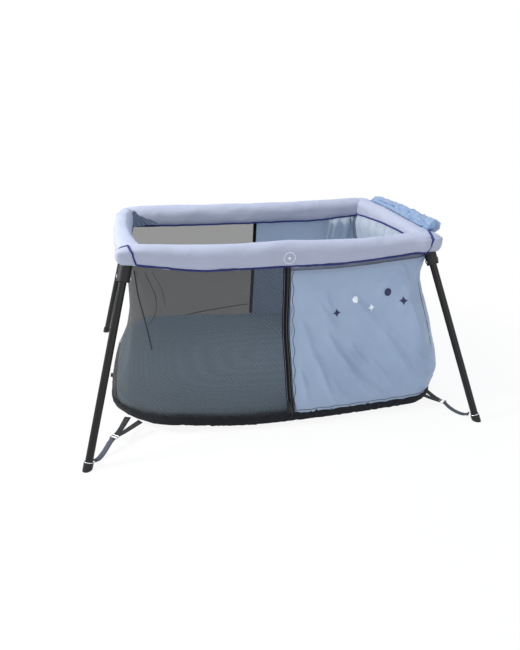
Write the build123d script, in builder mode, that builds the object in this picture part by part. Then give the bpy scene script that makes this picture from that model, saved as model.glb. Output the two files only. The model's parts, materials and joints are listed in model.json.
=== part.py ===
from build123d import *
import math
import os

# Playpen, in millimetres. X runs along the length, the front is at -Y, and the floor is Z = 0.

# Top frame
rail_height = 605  # rail centre line above the floor
rim_length = 1000  # between the end rails, at the corners
rim_width = 580  # between the long rails
rail_diameter = 25
rail_wall = 1.5
end_bow = 20  # how far each end rail bows outward
rail_insert = 6  # how far short of the corner an end rail stops

# Legs
foot_x = 671
foot_y = 512
leg_diameter = 24
leg_wall = 1.5
leg_pin_depth = 66  # from the rail corner down the leg
front_leg_lean = 0.10  # outward lean of a folded front leg
front_leg_drop = 0.03
rear_leg_lean = 0.12  # the rear legs fold lower, so they pass under the front ones
rear_leg_drop = 0.20
foot_cap_diameter = 30
foot_cap_grip = 12
foot_cap_floor = 10  # from the end of the tube to the floor, along the leg

# Corner brackets and leg collars
hub_diameter = 44
hub_top = 22
collar_diameter = 40
collar_start = 20  # distances down the leg from the rail corner
collar_end = 80
collar_slot_start = 44
spigot_diameter = 16
spigot_length = 12
corner_pin_inset = 38  # from the rail corner to the pivot of a long rail
ear_thickness = 6
ear_radius = 11
eye_thickness = 10
eye_neck = 16  # from the corner pin to the start of the tube
eye_plug = 8

# Pins
pin_diameter = 8
pin_head_diameter = 13
pin_head_height = 2
leg_rivet_head = 1.5
running_clearance = 0.06
gap = 0.3

# Middle hinges
hinge_rise = 15  # hinge pin above the rail centre line
hinge_reach = 30  # from the hinge pin to the end of each tube
hinge_spigot = 18
flange_diameter = 28
flange_thickness = 4
knuckle_radius = 9.5
barrel_drop = 7  # release button below the rail centre line
barrel_diameter = 23
barrel_length = 9
button_diameter = 16
button_thickness = 6
button_travel = 4
button_stem_diameter = 8
spring_diameter = 12
spring_wire = 0.9
spring_turns = 3

# Rim sleeves
sleeve_width = 70
sleeve_rise = 35  # above and below the rail centre line
sleeve_drop = 45
sleeve_end_gap = 32  # from the rail corner to the sleeve on the end rail
long_sleeve_start = 52  # from the rail corner to the sleeve on a long rail
hinge_pocket_diameter = 57
hinge_pocket_length = 50
canopy_side = 42  # canopy roll beside and above the middle of the end sleeve
canopy_rise = 46
canopy_length = 470
canopy_end_radius = 18

# Basket
wall_thickness = 3
top_side_offset = 16  # long walls hang outside the rail centre lines
top_side_bow = 2
top_corner_radius = 60
base_length = 1184
base_width = 756
base_end_bow = 20
base_side_bow = 30
base_corner_radius = 150
base_bottom = 14
base_height = 36
base_floor = 4
base_band = 12  # width of the padded band round the base
base_edge_radius = 6
mattress_thickness = 48
mattress_clearance = 1
mattress_edge_radius = 10

# Zip
tape_width = 26
tape_thickness = 2
tape_end = 6  # tape stops this far inside the wall's edges
slider_width = 14
slider_length = 22
slider_thickness = 6
slider_start = 14  # from the foot of the tape
pull_width = 9
pull_length = 34
pull_thickness = 2
pull_pin_diameter = 3

# Tethers at the front corners. Each lies in the upright plane of its leg, where U is the
# distance from the foot towards the base corner.
web_thickness = 2.4
web_half_width = 36
web_tip_half_width = 11
web_seam = 25  # how far the webbing reaches past the base corner, before it is trimmed there
web_shoulder_back = 35
ring_wire = 3.2
ring_inner_bar = 139
ring_outer_bar = 121
ring_width = 26
ring_bend = 3
loop_wall = 1.6  # fabric folded round a ring or hook bar
strap_width = 20
strap_thickness = 2.4
hook_wire = 3
hook_bar_reach = 25  # from the leg's axis to the bar that carries the strap
tether_heights = {"left": 34, "right": 23}
tether_routes = {
    "left": [(102, 26), (80, 13.5), (58, 5.5), (44, 5.2)],
    "right": [(104, 12), (81, 4.4), (60, 2.4), (45, 4.6)],
}

corners = {
    "front_left": (-1, -1),
    "front_right": (1, -1),
    "rear_left": (-1, 1),
    "rear_right": (1, 1),
}
ends = {"left": -1, "right": 1}
sides = {"front": -1, "rear": 1}

rail_radius = rail_diameter / 2
corner_pin_x = rim_length / 2 - corner_pin_inset
sleeve_top = rail_height + sleeve_rise
sleeve_bottom = rail_height - sleeve_drop
sleeve_centre_height = (sleeve_top + sleeve_bottom) / 2
base_corner_reach = web_seam - base_corner_radius + math.hypot(
    foot_x - base_length / 2 + base_corner_radius, foot_y - base_width / 2 + base_corner_radius)
web_shoulder = base_corner_reach - web_shoulder_back
base_top = base_bottom + base_height
wall_top = sleeve_bottom - gap

os.makedirs("parts", exist_ok=True)


def save(builder, name):
    """Label a finished piece and write it."""
    builder.part.label = name
    export_step(builder.part, f"parts/{name}.step")


# ---------------------------------------------------------------- end rails and their sleeves


def end_path(end, half_span, outward=0.0, height=rail_height):
    """The bowed centre line of an end rail, cut at a half span and shifted outward."""
    chord = rim_width / 2 - rail_insert
    bend_radius = (chord**2 + end_bow**2) / (2 * end_bow)
    centre_x = end * (rim_length / 2 + end_bow - bend_radius)
    radius = bend_radius + outward
    half_angle = math.degrees(math.asin(half_span / radius))
    middle = 0 if end > 0 else 180
    with BuildLine(Plane.XY.offset(height)) as path:
        CenterArc((centre_x, 0), radius, middle - half_angle, 2 * half_angle)
    return path.line


def make_end_rail(end):
    path = end_path(end, rim_width / 2 - rail_insert)
    with BuildPart() as rail:
        with BuildSketch(Plane(path @ 0, z_dir=path % 0)):
            Circle(rail_radius)
            Circle(rail_radius - rail_wall, mode=Mode.SUBTRACT)
        sweep(path=path)
    return rail


def make_end_sleeve(end):
    path = end_path(end, rim_width / 2 - sleeve_end_gap, height=sleeve_centre_height)
    bore_rise = rail_height - sleeve_centre_height
    with BuildPart() as sleeve:
        with BuildSketch(Plane(path @ 0, x_dir=(0, 0, 1), z_dir=path % 0)):
            Ellipse((sleeve_top - sleeve_bottom) / 2, sleeve_width / 2)
            with Locations((bore_rise, 0)):
                Circle(rail_radius + gap, mode=Mode.SUBTRACT)
        sweep(path=path)
    return sleeve


for end_name, end in ends.items():
    save(make_end_rail(end), f"{end_name}_end_rail")
    save(make_end_sleeve(end), f"{end_name}_rim_sleeve")


# The canopy roll rests on the outer shoulder of the right end sleeve.
shoulder_angle = math.atan2(canopy_rise, canopy_side)
shoulder_radius = 1 / math.hypot(
    math.cos(shoulder_angle) / (sleeve_width / 2),
    math.sin(shoulder_angle) / ((sleeve_top - sleeve_bottom) / 2),
)
canopy_radius = math.hypot(canopy_side, canopy_rise) - shoulder_radius - 3 * gap
canopy_path = end_path(1, canopy_length / 2, canopy_side, sleeve_centre_height + canopy_rise)
with BuildPart() as canopy_roll:
    with BuildSketch(Plane(canopy_path @ 0, z_dir=canopy_path % 0)):
        Circle(canopy_radius)
    sweep(path=canopy_path)
    fillet(canopy_roll.edges().filter_by(GeomType.CIRCLE), canopy_end_radius)
save(canopy_roll, "canopy_roll")


# ---------------------------------------------------------------- corners, collars and legs


def leg_line(corner):
    """Rail corner, leg direction and the plane whose Z runs down the leg and whose X is the fold axis."""
    side_x, side_y = corner
    top = Vector(side_x * rim_length / 2, side_y * rim_width / 2, rail_height)
    foot = Vector(side_x * foot_x, side_y * foot_y, 0)
    down = (foot - top).normalized()
    lean, drop = (
        (front_leg_lean, front_leg_drop) if side_y < 0 else (rear_leg_lean, rear_leg_drop)
    )
    folded = Vector(side_x * lean, -side_y, -drop).normalized()
    axis = down.cross(folded).normalized()
    return top, foot, Plane(origin=top, x_dir=axis, z_dir=down)


def make_bracket(corner):
    side_x, side_y = corner
    top, _, leg_plane = leg_line(corner)
    pin_x = side_x * corner_pin_x
    arm_end = side_x * (corner_pin_x + ear_radius + 3)
    clevis_width = eye_thickness + 2 * gap + 2 * ear_thickness
    rail_path = end_path(side_x, rim_width / 2 - rail_insert)
    with BuildPart() as bracket:
        with BuildSketch(leg_plane.offset(-hub_top)):
            Circle(hub_diameter / 2)
        extrude(amount=hub_top + collar_start)
        with BuildSketch(Plane.XZ.offset(-top.Y)):
            with Locations((pin_x, rail_height)):
                Circle(ear_radius)
            with Locations(((pin_x + top.X) / 2, rail_height)):
                Rectangle(corner_pin_inset, 2 * ear_radius)
        extrude(amount=clevis_width / 2, both=True)
        with BuildSketch(Plane.XZ.offset(-top.Y)):
            with Locations(((arm_end + pin_x - side_x * 2 * ear_radius) / 2, rail_height)):
                Rectangle(abs(arm_end - pin_x) + 2 * ear_radius, 3 * ear_radius)
        extrude(amount=eye_thickness / 2 + gap, both=True, mode=Mode.SUBTRACT)
        with BuildSketch(Plane.XZ.offset(-top.Y)):
            with Locations((pin_x, rail_height)):
                Circle(pin_diameter / 2)
        extrude(amount=clevis_width, both=True, mode=Mode.SUBTRACT)
        with BuildSketch(leg_plane.offset(collar_start - spigot_length)):
            Circle(spigot_diameter / 2)
        extrude(amount=spigot_length, mode=Mode.SUBTRACT)
        with BuildSketch(Plane(rail_path @ 0, z_dir=rail_path % 0)):
            Circle(rail_radius)
        sweep(path=rail_path, mode=Mode.SUBTRACT)
    return bracket


def make_collar(corner):
    _, _, leg_plane = leg_line(corner)
    slot_width = leg_diameter + 2 * gap
    with BuildPart() as collar:
        with BuildSketch(leg_plane.offset(collar_start)):
            Circle(collar_diameter / 2)
        extrude(amount=collar_end - collar_start)
        with BuildSketch(leg_plane.offset(collar_start - spigot_length)):
            Circle(spigot_diameter / 2)
        extrude(amount=spigot_length)
        with BuildSketch(leg_plane.offset(leg_pin_depth - leg_diameter / 2 - gap)):
            Circle(slot_width / 2)
        extrude(amount=collar_end - leg_pin_depth + leg_diameter, mode=Mode.SUBTRACT)
        with BuildSketch(leg_plane.offset(collar_slot_start)):
            with Locations((0, leg_diameter / 4 - collar_diameter / 2)):
                Rectangle(slot_width, collar_diameter)
        extrude(amount=collar_end - collar_slot_start + gap, mode=Mode.SUBTRACT)
        with BuildSketch(Plane(leg_plane.from_local_coords(Vector(0, 0, leg_pin_depth)),
                               z_dir=leg_plane.x_dir)):
            Circle(pin_diameter / 2)
        extrude(amount=collar_diameter, both=True, mode=Mode.SUBTRACT)
    return collar


def make_leg(corner):
    top, foot, leg_plane = leg_line(corner)
    leg_end = (foot - top).length - foot_cap_floor
    pin_plane = Plane(leg_plane.from_local_coords(Vector(0, 0, leg_pin_depth)), z_dir=leg_plane.x_dir)
    with BuildPart() as leg:
        with BuildSketch(leg_plane.offset(leg_pin_depth)):
            Circle(leg_diameter / 2)
        extrude(amount=leg_end - leg_pin_depth)
        with BuildSketch(leg_plane.offset(leg_pin_depth + leg_diameter)):
            Circle(leg_diameter / 2 - leg_wall)
        extrude(amount=leg_end - leg_pin_depth - leg_diameter, mode=Mode.SUBTRACT)
        with Locations(pin_plane):
            Sphere(leg_diameter / 2)
        with BuildSketch(pin_plane):
            Circle(pin_diameter / 2 + running_clearance)
        extrude(amount=leg_diameter, both=True, mode=Mode.SUBTRACT)
    return leg


def make_foot_cap(corner):
    top, foot, leg_plane = leg_line(corner)
    leg_end = (foot - top).length - foot_cap_floor
    with BuildPart() as cap:
        with BuildSketch(leg_plane.offset(leg_end - foot_cap_grip)):
            Circle(foot_cap_diameter / 2)
        extrude(amount=foot_cap_grip + foot_cap_floor + foot_cap_diameter)
        with BuildSketch(leg_plane.offset(leg_end - foot_cap_grip)):
            Circle(leg_diameter / 2)
        extrude(amount=foot_cap_grip, mode=Mode.SUBTRACT)
        split(bisect_by=Plane.XY, keep=Keep.TOP)
        fillet(cap.edges().filter_by(GeomType.CIRCLE).sort_by(SortBy.RADIUS)[-1], 1)
    return cap


for corner_name, corner in corners.items():
    save(make_bracket(corner), f"{corner_name}_bracket")
    save(make_collar(corner), f"{corner_name}_leg_collar")
    save(make_leg(corner), f"{corner_name}_leg")
    save(make_foot_cap(corner), f"{corner_name}_foot_cap")


def make_rivet(centre, direction, grip, head_height=pin_head_height):
    """A rivet across a grip length, with a head at each end."""
    with BuildPart() as rivet:
        with BuildSketch(Plane(centre, z_dir=direction)):
            Circle(pin_diameter / 2)
        extrude(amount=grip / 2 + head_height, both=True)
        for face in (1, -1):
            with BuildSketch(Plane(centre, z_dir=face * Vector(direction)).offset(grip / 2)):
                Circle(pin_head_diameter / 2)
            extrude(amount=head_height)
    return rivet


rail_grip = eye_thickness + 2 * gap + 2 * ear_thickness
for end_name, end in ends.items():
    with BuildPart() as rivets:
        for corner in corners.values():
            if corner[0] == end:
                top, _, leg_plane = leg_line(corner)
                rail_pin = Vector(end * corner_pin_x, top.Y, rail_height)
                leg_pin = leg_plane.from_local_coords(Vector(0, 0, leg_pin_depth))
                add(make_rivet(rail_pin, (0, 1, 0), rail_grip))
                add(make_rivet(leg_pin, leg_plane.x_dir, collar_diameter, leg_rivet_head))
    save(rivets, f"{end_name}_rivets")


# ---------------------------------------------------------------- long rails and middle hinges


def make_half_rail(end, side):
    rail_y = side * rim_width / 2
    pin_x = end * corner_pin_x
    tube_start = end * (corner_pin_x - eye_neck)
    tube_end = end * hinge_reach
    across = Plane.XZ.offset(-rail_y)
    with BuildPart() as rail:
        with BuildSketch(Plane(Vector(tube_start, rail_y, rail_height), z_dir=(-end, 0, 0))):
            Circle(rail_radius)
        extrude(amount=abs(tube_start - tube_end))
        with BuildSketch(Plane(Vector(tube_start - end * eye_plug, rail_y, rail_height), z_dir=(-end, 0, 0))):
            Circle(rail_radius - rail_wall)
        extrude(amount=abs(tube_start - tube_end) - eye_plug, mode=Mode.SUBTRACT)
        with BuildSketch(across):
            with Locations((pin_x, rail_height)):
                Circle(ear_radius)
            with Locations(((pin_x + tube_start) / 2, rail_height)):
                Rectangle(eye_neck, 2 * ear_radius)
        extrude(amount=eye_thickness / 2, both=True)
        with BuildSketch(across):
            with Locations((pin_x, rail_height)):
                Circle(pin_diameter / 2 + running_clearance)
        extrude(amount=eye_thickness, both=True, mode=Mode.SUBTRACT)
    return rail


def make_hinge_root(end, side):
    """The spigot inside a half rail's tube and the flange at its mouth."""
    mouth = Plane(Vector(end * hinge_reach, side * rim_width / 2, rail_height), z_dir=(end, 0, 0))
    with BuildPart() as root:
        with BuildSketch(mouth):
            Circle(rail_radius - rail_wall)
        extrude(amount=hinge_spigot)
        with BuildSketch(mouth):
            Circle(flange_diameter / 2)
        extrude(amount=-flange_thickness)
    return root


def hinge_blade(end, with_barrel):
    """The outline, seen from the front, of the blade from a flange round the hinge pin."""
    root_x = end * (hinge_reach - flange_thickness)
    with BuildSketch(mode=Mode.PRIVATE) as blade:
        with Locations((0, rail_height + hinge_rise)):
            Circle(knuckle_radius)
        if with_barrel:
            with Locations((0, rail_height - barrel_drop)):
                Circle(barrel_diameter / 2)
        with Locations((root_x, rail_height)):
            Rectangle(1, 2 * ear_radius, align=(Align.MIN if end < 0 else Align.MAX, Align.CENTER))
        make_hull()
    return blade.sketch


def make_fork(side):
    rail_y = side * rim_width / 2
    across = Plane.XZ.offset(-rail_y)
    fork_width = eye_thickness + 2 * gap + 2 * ear_thickness
    outer_face = fork_width / 2
    web_end = -(hinge_reach - flange_thickness - 4)
    with BuildPart() as fork:
        add(make_hinge_root(-1, side))
        with BuildSketch(across):
            add(hinge_blade(-1, True))
        extrude(amount=outer_face, both=True)
        with BuildSketch(across):
            with Locations((web_end, rail_height)):
                Rectangle(2 * hinge_reach, 6 * ear_radius, align=(Align.MIN, Align.CENTER))
        extrude(amount=eye_thickness / 2 + gap, both=True, mode=Mode.SUBTRACT)
        barrel_face = Plane(Vector(0, rail_y + side * outer_face, rail_height - barrel_drop),
                            z_dir=(0, side, 0))
        with BuildSketch(barrel_face):
            Circle(barrel_diameter / 2)
            Circle(button_diameter / 2 + running_clearance, mode=Mode.SUBTRACT)
        extrude(amount=barrel_length)
        with BuildSketch(barrel_face):
            Circle(button_stem_diameter / 2 + running_clearance)
        extrude(amount=-ear_thickness - gap, mode=Mode.SUBTRACT)
        with BuildSketch(across):
            with Locations((0, rail_height + hinge_rise)):
                Circle(pin_diameter / 2)
        extrude(amount=fork_width, both=True, mode=Mode.SUBTRACT)
    return fork


def make_tongue(side):
    across = Plane.XZ.offset(-side * rim_width / 2)
    with BuildPart() as tongue:
        add(make_hinge_root(1, side))
        with BuildSketch(across):
            add(hinge_blade(1, False))
        extrude(amount=eye_thickness / 2, both=True)
        with BuildSketch(across):
            with Locations((0, rail_height + hinge_rise)):
                Circle(pin_diameter / 2 + running_clearance)
        extrude(amount=eye_thickness, both=True, mode=Mode.SUBTRACT)
    return tongue


def make_button(side):
    ear_face = side * (rim_width / 2 + rail_grip / 2)
    head_back = ear_face + side * (barrel_length + button_travel - button_thickness)
    with BuildPart() as button:
        with BuildSketch(Plane(Vector(0, head_back, rail_height - barrel_drop), z_dir=(0, side, 0))):
            Circle(button_diameter / 2)
        extrude(amount=button_thickness)
        fillet(button.edges().group_by(Axis.Y)[-1 if side > 0 else 0], 1.5)
        with BuildSketch(Plane(Vector(0, head_back, rail_height - barrel_drop), z_dir=(0, -side, 0))):
            Circle(button_stem_diameter / 2)
        extrude(amount=abs(head_back - ear_face) + ear_thickness - 1)
    return button


def make_spring(side):
    ear_face = side * (rim_width / 2 + rail_grip / 2)
    room = barrel_length + button_travel - button_thickness
    coil_radius = (spring_diameter - spring_wire) / 2
    with BuildPart() as spring:
        with BuildLine() as coil:
            Helix((room - spring_wire) / spring_turns, room - spring_wire, coil_radius,
                  center=(0, ear_face + side * spring_wire / 2, rail_height - barrel_drop),
                  direction=(0, side, 0))
        with BuildSketch(Plane(coil.line @ 0, z_dir=coil.line % 0)):
            Circle(spring_wire / 2)
        sweep(path=coil.line, is_frenet=True)
    return spring


def make_long_sleeve(end, side):
    rail_y = side * rim_width / 2
    inner_x = end * gap
    outer_x = end * (rim_length / 2 - long_sleeve_start)
    bore_rise = rail_height - sleeve_centre_height
    middle = Plane(Vector(inner_x, rail_y, sleeve_centre_height), x_dir=(0, 1, 0), z_dir=(end, 0, 0))
    with BuildPart() as sleeve:
        with BuildSketch(middle):
            Ellipse(sleeve_width / 2, (sleeve_top - sleeve_bottom) / 2)
        extrude(amount=abs(outer_x - inner_x))
        with BuildSketch(middle):
            with Locations((0, end * bore_rise)):
                Circle(rail_radius + gap)
        extrude(amount=abs(outer_x - inner_x), mode=Mode.SUBTRACT)
        with BuildSketch(middle):
            with Locations((0, end * bore_rise)):
                Circle(hinge_pocket_diameter / 2)
        extrude(amount=hinge_pocket_length, mode=Mode.SUBTRACT)
    return sleeve


for side_name, side in sides.items():
    for end_name, end in ends.items():
        save(make_half_rail(end, side), f"{side_name}_{end_name}_rail")
        save(make_long_sleeve(end, side), f"{side_name}_{end_name}_rim_sleeve")
    save(make_fork(side), f"{side_name}_hinge_fork")
    save(make_tongue(side), f"{side_name}_hinge_tongue")
    save(make_button(side), f"{side_name}_release_button")
    save(make_spring(side), f"{side_name}_button_spring")
    hinge_centre = Vector(0, side * rim_width / 2, rail_height + hinge_rise)
    save(make_rivet(hinge_centre, (0, 1, 0), rail_grip), f"{side_name}_hinge_pin")


# ---------------------------------------------------------------- basket


def basket_outline(height, half_length, half_width, length_bow, width_bow, corner_radius, inset=0.0):
    """A rounded rectangle with bowed sides at a height, drawn in by an inset."""
    x, y = half_length - inset, half_width - inset
    with BuildSketch(Plane.XY.offset(height)) as outline:
        with BuildLine():
            ThreePointArc((-x, -y), (0, -y - width_bow), (x, -y))
            ThreePointArc((x, -y), (x + length_bow, 0), (x, y))
            ThreePointArc((x, y), (0, y + width_bow), (-x, y))
            ThreePointArc((-x, y), (-x - length_bow, 0), (-x, -y))
        make_face()
        fillet(outline.vertices(), corner_radius - inset)
    return outline.sketch


def top_outline(inset=0.0):
    return basket_outline(wall_top, rim_length / 2, rim_width / 2 + top_side_offset,
                          end_bow, top_side_bow, top_corner_radius, inset)


def base_outline(height, inset=0.0):
    return basket_outline(height, base_length / 2, base_width / 2,
                          base_end_bow, base_side_bow, base_corner_radius, inset)


def wall_cuts(name):
    """Upright planes that bound one wall, facing it. Corner seams run through the top and base corners."""
    top_x, top_y = rim_length / 2, rim_width / 2 + top_side_offset
    slope = (base_width / 2 - top_y) / (base_length / 2 - top_x)
    seam_start = top_x - top_y / slope
    side_x = -1 if "mesh" in name else 1
    if name in end_wall_names:
        return [Plane((side_x * seam_start, 0, 0), z_dir=(side_x * slope, -side_y, 0)) for side_y in (-1, 1)]
    side_y = -1 if name.startswith("front") else 1
    return [Plane((side_x * gap, 0, 0), z_dir=(side_x, 0, 0)),
            Plane((side_x * seam_start, 0, 0), z_dir=(-side_x * slope, side_y, 0))]


end_wall_names = ("left_mesh_wall", "right_satin_wall")
side_wall_names = ("front_mesh_wall", "rear_mesh_wall", "front_satin_wall", "rear_satin_wall")
for wall_name in end_wall_names + side_wall_names:
    with BuildPart() as wall:
        add(top_outline())
        add(base_outline(base_top))
        loft()
        add(top_outline(wall_thickness))
        add(base_outline(base_top, wall_thickness))
        loft(mode=Mode.SUBTRACT)
        for cut in wall_cuts(wall_name):
            split(bisect_by=cut, keep=Keep.TOP)
    save(wall, wall_name)

with BuildPart() as base_panel:
    add(base_outline(base_bottom))
    extrude(amount=base_height)
    fillet(base_panel.faces().sort_by(Axis.Z)[0].edges(), base_edge_radius)
    add(base_outline(base_bottom + base_floor, base_band))
    extrude(amount=base_height, mode=Mode.SUBTRACT)
save(base_panel, "base_panel")

with BuildPart() as mattress:
    add(base_outline(base_bottom + base_floor, base_band + mattress_clearance))
    extrude(amount=mattress_thickness)
    fillet(mattress.faces().sort_by(Axis.Z)[-1].edges(), mattress_edge_radius)
save(mattress, "mattress")


# ---------------------------------------------------------------- zip

tape_foot = Vector(0, -(base_width / 2 + base_side_bow), base_top)
tape_head = Vector(0, -(rim_width / 2 + top_side_offset + top_side_bow), wall_top)
zip_up = (tape_head - tape_foot).normalized()
tape_length = (tape_head - tape_foot).length - 2 * tape_end
# Local X runs across the tape, Y up the tape and Z outward from the wall.
tape_plane = Plane(tape_foot, x_dir=(1, 0, 0), z_dir=Vector(1, 0, 0).cross(zip_up))
slider_back = gap + tape_thickness + gap
slider_front = slider_back + slider_thickness
pull_pin_up = tape_end + slider_start + slider_length - pull_pin_diameter

with BuildPart() as zip_tape:
    with BuildSketch(tape_plane.offset(gap)):
        with Locations((0, tape_end)):
            Rectangle(tape_width, tape_length, align=(Align.CENTER, Align.MIN))
    extrude(amount=tape_thickness)
save(zip_tape, "zip_tape")

with BuildPart() as zip_slider:
    with BuildSketch(tape_plane.offset(slider_back)):
        with Locations((0, tape_end + slider_start)):
            Rectangle(slider_width, slider_length, align=(Align.CENTER, Align.MIN))
    extrude(amount=slider_thickness)
    fillet(zip_slider.edges().filter_by(Axis.X), 1)
    for edge in (-1, 1):
        with BuildSketch(tape_plane.offset(slider_front)):
            with Locations((edge * (pull_width / 2 + gap + 1), pull_pin_up)):
                Rectangle(2, 2 * pull_pin_diameter)
        extrude(amount=pull_pin_diameter + 1.5)
    pull_axis = tape_plane.from_local_coords(
        Vector(0, pull_pin_up, slider_front + gap + pull_pin_diameter / 2))
    with BuildSketch(Plane(pull_axis, z_dir=(1, 0, 0))):
        Circle(pull_pin_diameter / 2 - 0.4)
    extrude(amount=pull_width / 2 + 1, both=True)
save(zip_slider, "zip_slider")

with BuildPart() as zip_pull:
    with BuildSketch(tape_plane.offset(slider_front + gap)):
        with Locations((0, pull_pin_up)):
            Rectangle(pull_width, pull_length, align=(Align.CENTER, Align.MAX))
    extrude(amount=pull_thickness)
    with BuildSketch(Plane(pull_axis, z_dir=(1, 0, 0))):
        Circle(pull_pin_diameter / 2)
    extrude(amount=pull_width / 2, both=True)
    with BuildSketch(Plane(pull_axis, z_dir=(1, 0, 0))):
        Circle(pull_pin_diameter / 2 - 0.4 + running_clearance)
    extrude(amount=pull_width, both=True, mode=Mode.SUBTRACT)
save(zip_pull, "zip_pull")


# ---------------------------------------------------------------- tethers at the front corners


def tether_frame(end, height=0.0):
    """Horizontal plane at a height, with its origin over the foot and X towards the base corner."""
    inward = Vector(end * (rim_length / 2 - foot_x), foot_y - rim_width / 2, 0).normalized()
    return Plane(origin=(end * foot_x, -foot_y, height), x_dir=inward, z_dir=(0, 0, 1))


def make_web(end, height):
    """Webbing that fans out from the ring to the edge of the base."""
    frame = tether_frame(end, height)
    half = web_thickness / 2
    bar = Plane(frame.from_local_coords(Vector(ring_inner_bar, 0, 0)), z_dir=frame.y_dir)
    with BuildPart() as web:
        with BuildSketch(frame):
            with BuildLine():
                Polyline((ring_inner_bar, -web_tip_half_width), (web_shoulder, -web_half_width),
                         (base_corner_reach, -web_half_width), (base_corner_reach, web_half_width),
                         (web_shoulder, web_half_width), (ring_inner_bar, web_tip_half_width), close=True)
            make_face()
        extrude(amount=half, both=True)
        with BuildSketch(bar):
            Circle(ring_wire / 2 + running_clearance + loop_wall)
        extrude(amount=web_tip_half_width - 1, both=True)
        with BuildSketch(bar):
            Circle(ring_wire / 2 + running_clearance)
        extrude(amount=ring_width, both=True, mode=Mode.SUBTRACT)
        add(base_outline(base_bottom, -gap))
        extrude(amount=base_height, mode=Mode.SUBTRACT)
    return web


def make_ring(end, height):
    """The rectangular metal ring that joins the webbing and the strap."""
    with BuildSketch(tether_frame(end, height)) as outline:
        with Locations(((ring_inner_bar + ring_outer_bar) / 2, 0)):
            RectangleRounded(ring_inner_bar - ring_outer_bar, ring_width, ring_bend)
    path = outline.sketch.faces()[0].outer_wire()
    with BuildPart() as ring:
        with BuildSketch(Plane(path @ 0, z_dir=path % 0)):
            Circle(ring_wire / 2)
        sweep(path=path)
    return ring


def hook_frame(end):
    """Plane square to the leg, just above its foot cap, with X towards the base corner."""
    top, foot, leg_plane = leg_line((end, -1))
    seat = (foot - top).length - foot_cap_floor - foot_cap_grip - gap - hook_wire / 2
    inward = tether_frame(end).x_dir
    up = leg_plane.z_dir * -1
    return Plane(leg_plane.from_local_coords(Vector(0, 0, seat)), x_dir=inward - up * inward.dot(up), z_dir=up)


def make_hook(end):
    """A wire bail round the leg, with a bar for the strap."""
    frame = hook_frame(end)
    bail = leg_diameter / 2 + gap + hook_wire / 2
    bend_start = hook_bar_reach - ring_bend
    with BuildPart() as hook:
        with BuildLine(frame) as path:
            CenterArc((0, 0), bail, 90, 180)
            Line((0, -bail), (bend_start, -bail))
            CenterArc((bend_start, ring_bend - bail), ring_bend, -90, 90)
            Line((hook_bar_reach, ring_bend - bail), (hook_bar_reach, bail - ring_bend))
            CenterArc((bend_start, bail - ring_bend), ring_bend, 0, 90)
            Line((bend_start, bail), (0, bail))
        with BuildSketch(Plane(path.wire() @ 0, z_dir=path.wire() % 0)):
            Circle(hook_wire / 2)
        sweep(path=path.wire())
    return hook


def make_tether_strap(end, height, route):
    """Flat webbing from the ring to the hook, looped round a bar at each end."""
    frame = tether_frame(end)
    hook_bar = frame.to_local_coords(hook_frame(end).from_local_coords(Vector(hook_bar_reach, 0, 0)))
    points = [(ring_outer_bar, height), *route, (hook_bar.X, hook_bar.Z)]
    runs = [math.dist(a, b) for a, b in zip(points, points[1:])]
    radii = []
    for i in range(1, len(points) - 1):
        turn = Vector(points[i][0] - points[i - 1][0], points[i][1] - points[i - 1][1]).get_angle(
            Vector(points[i + 1][0] - points[i][0], points[i + 1][1] - points[i][1]))
        radii.append(0.45 * min(runs[i - 1], runs[i]) / math.tan(math.radians(turn / 2)))
    print(f"tether radii {[round(r) for r in radii]}, length {sum(runs):.0f}")
    upright = Plane(frame.origin, x_dir=frame.x_dir, z_dir=frame.x_dir.cross(Vector(0, 0, 1)))
    bars = [(points[0], ring_wire), (points[-1], hook_wire)]
    with BuildPart() as strap:
        with BuildLine(upright) as path:
            FilletPolyline(*points, radius=radii)
        with BuildSketch(Plane(path.wire() @ 0, x_dir=frame.y_dir, z_dir=path.wire() % 0)):
            Rectangle(strap_width, strap_thickness)
        sweep(path=path.wire())
        for point, wire in bars:
            with BuildSketch(upright):
                with Locations(point):
                    Circle(wire / 2 + running_clearance + loop_wall)
            extrude(amount=strap_width / 2, both=True)
        for point, wire in bars:
            with BuildSketch(upright):
                with Locations(point):
                    Circle(wire / 2 + running_clearance)
            extrude(amount=strap_width, both=True, mode=Mode.SUBTRACT)
    return strap


for end_name, end in ends.items():
    height = tether_heights[end_name]
    save(make_web(end, height), f"front_{end_name}_webbing")
    save(make_ring(end, height), f"front_{end_name}_tether_ring")
    save(make_tether_strap(end, height, tether_routes[end_name]), f"front_{end_name}_tether_strap")
    save(make_hook(end), f"front_{end_name}_tether_hook")
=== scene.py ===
import json
import math

import bpy
import numpy as np
from mathutils import Matrix, Vector, noise

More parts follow.
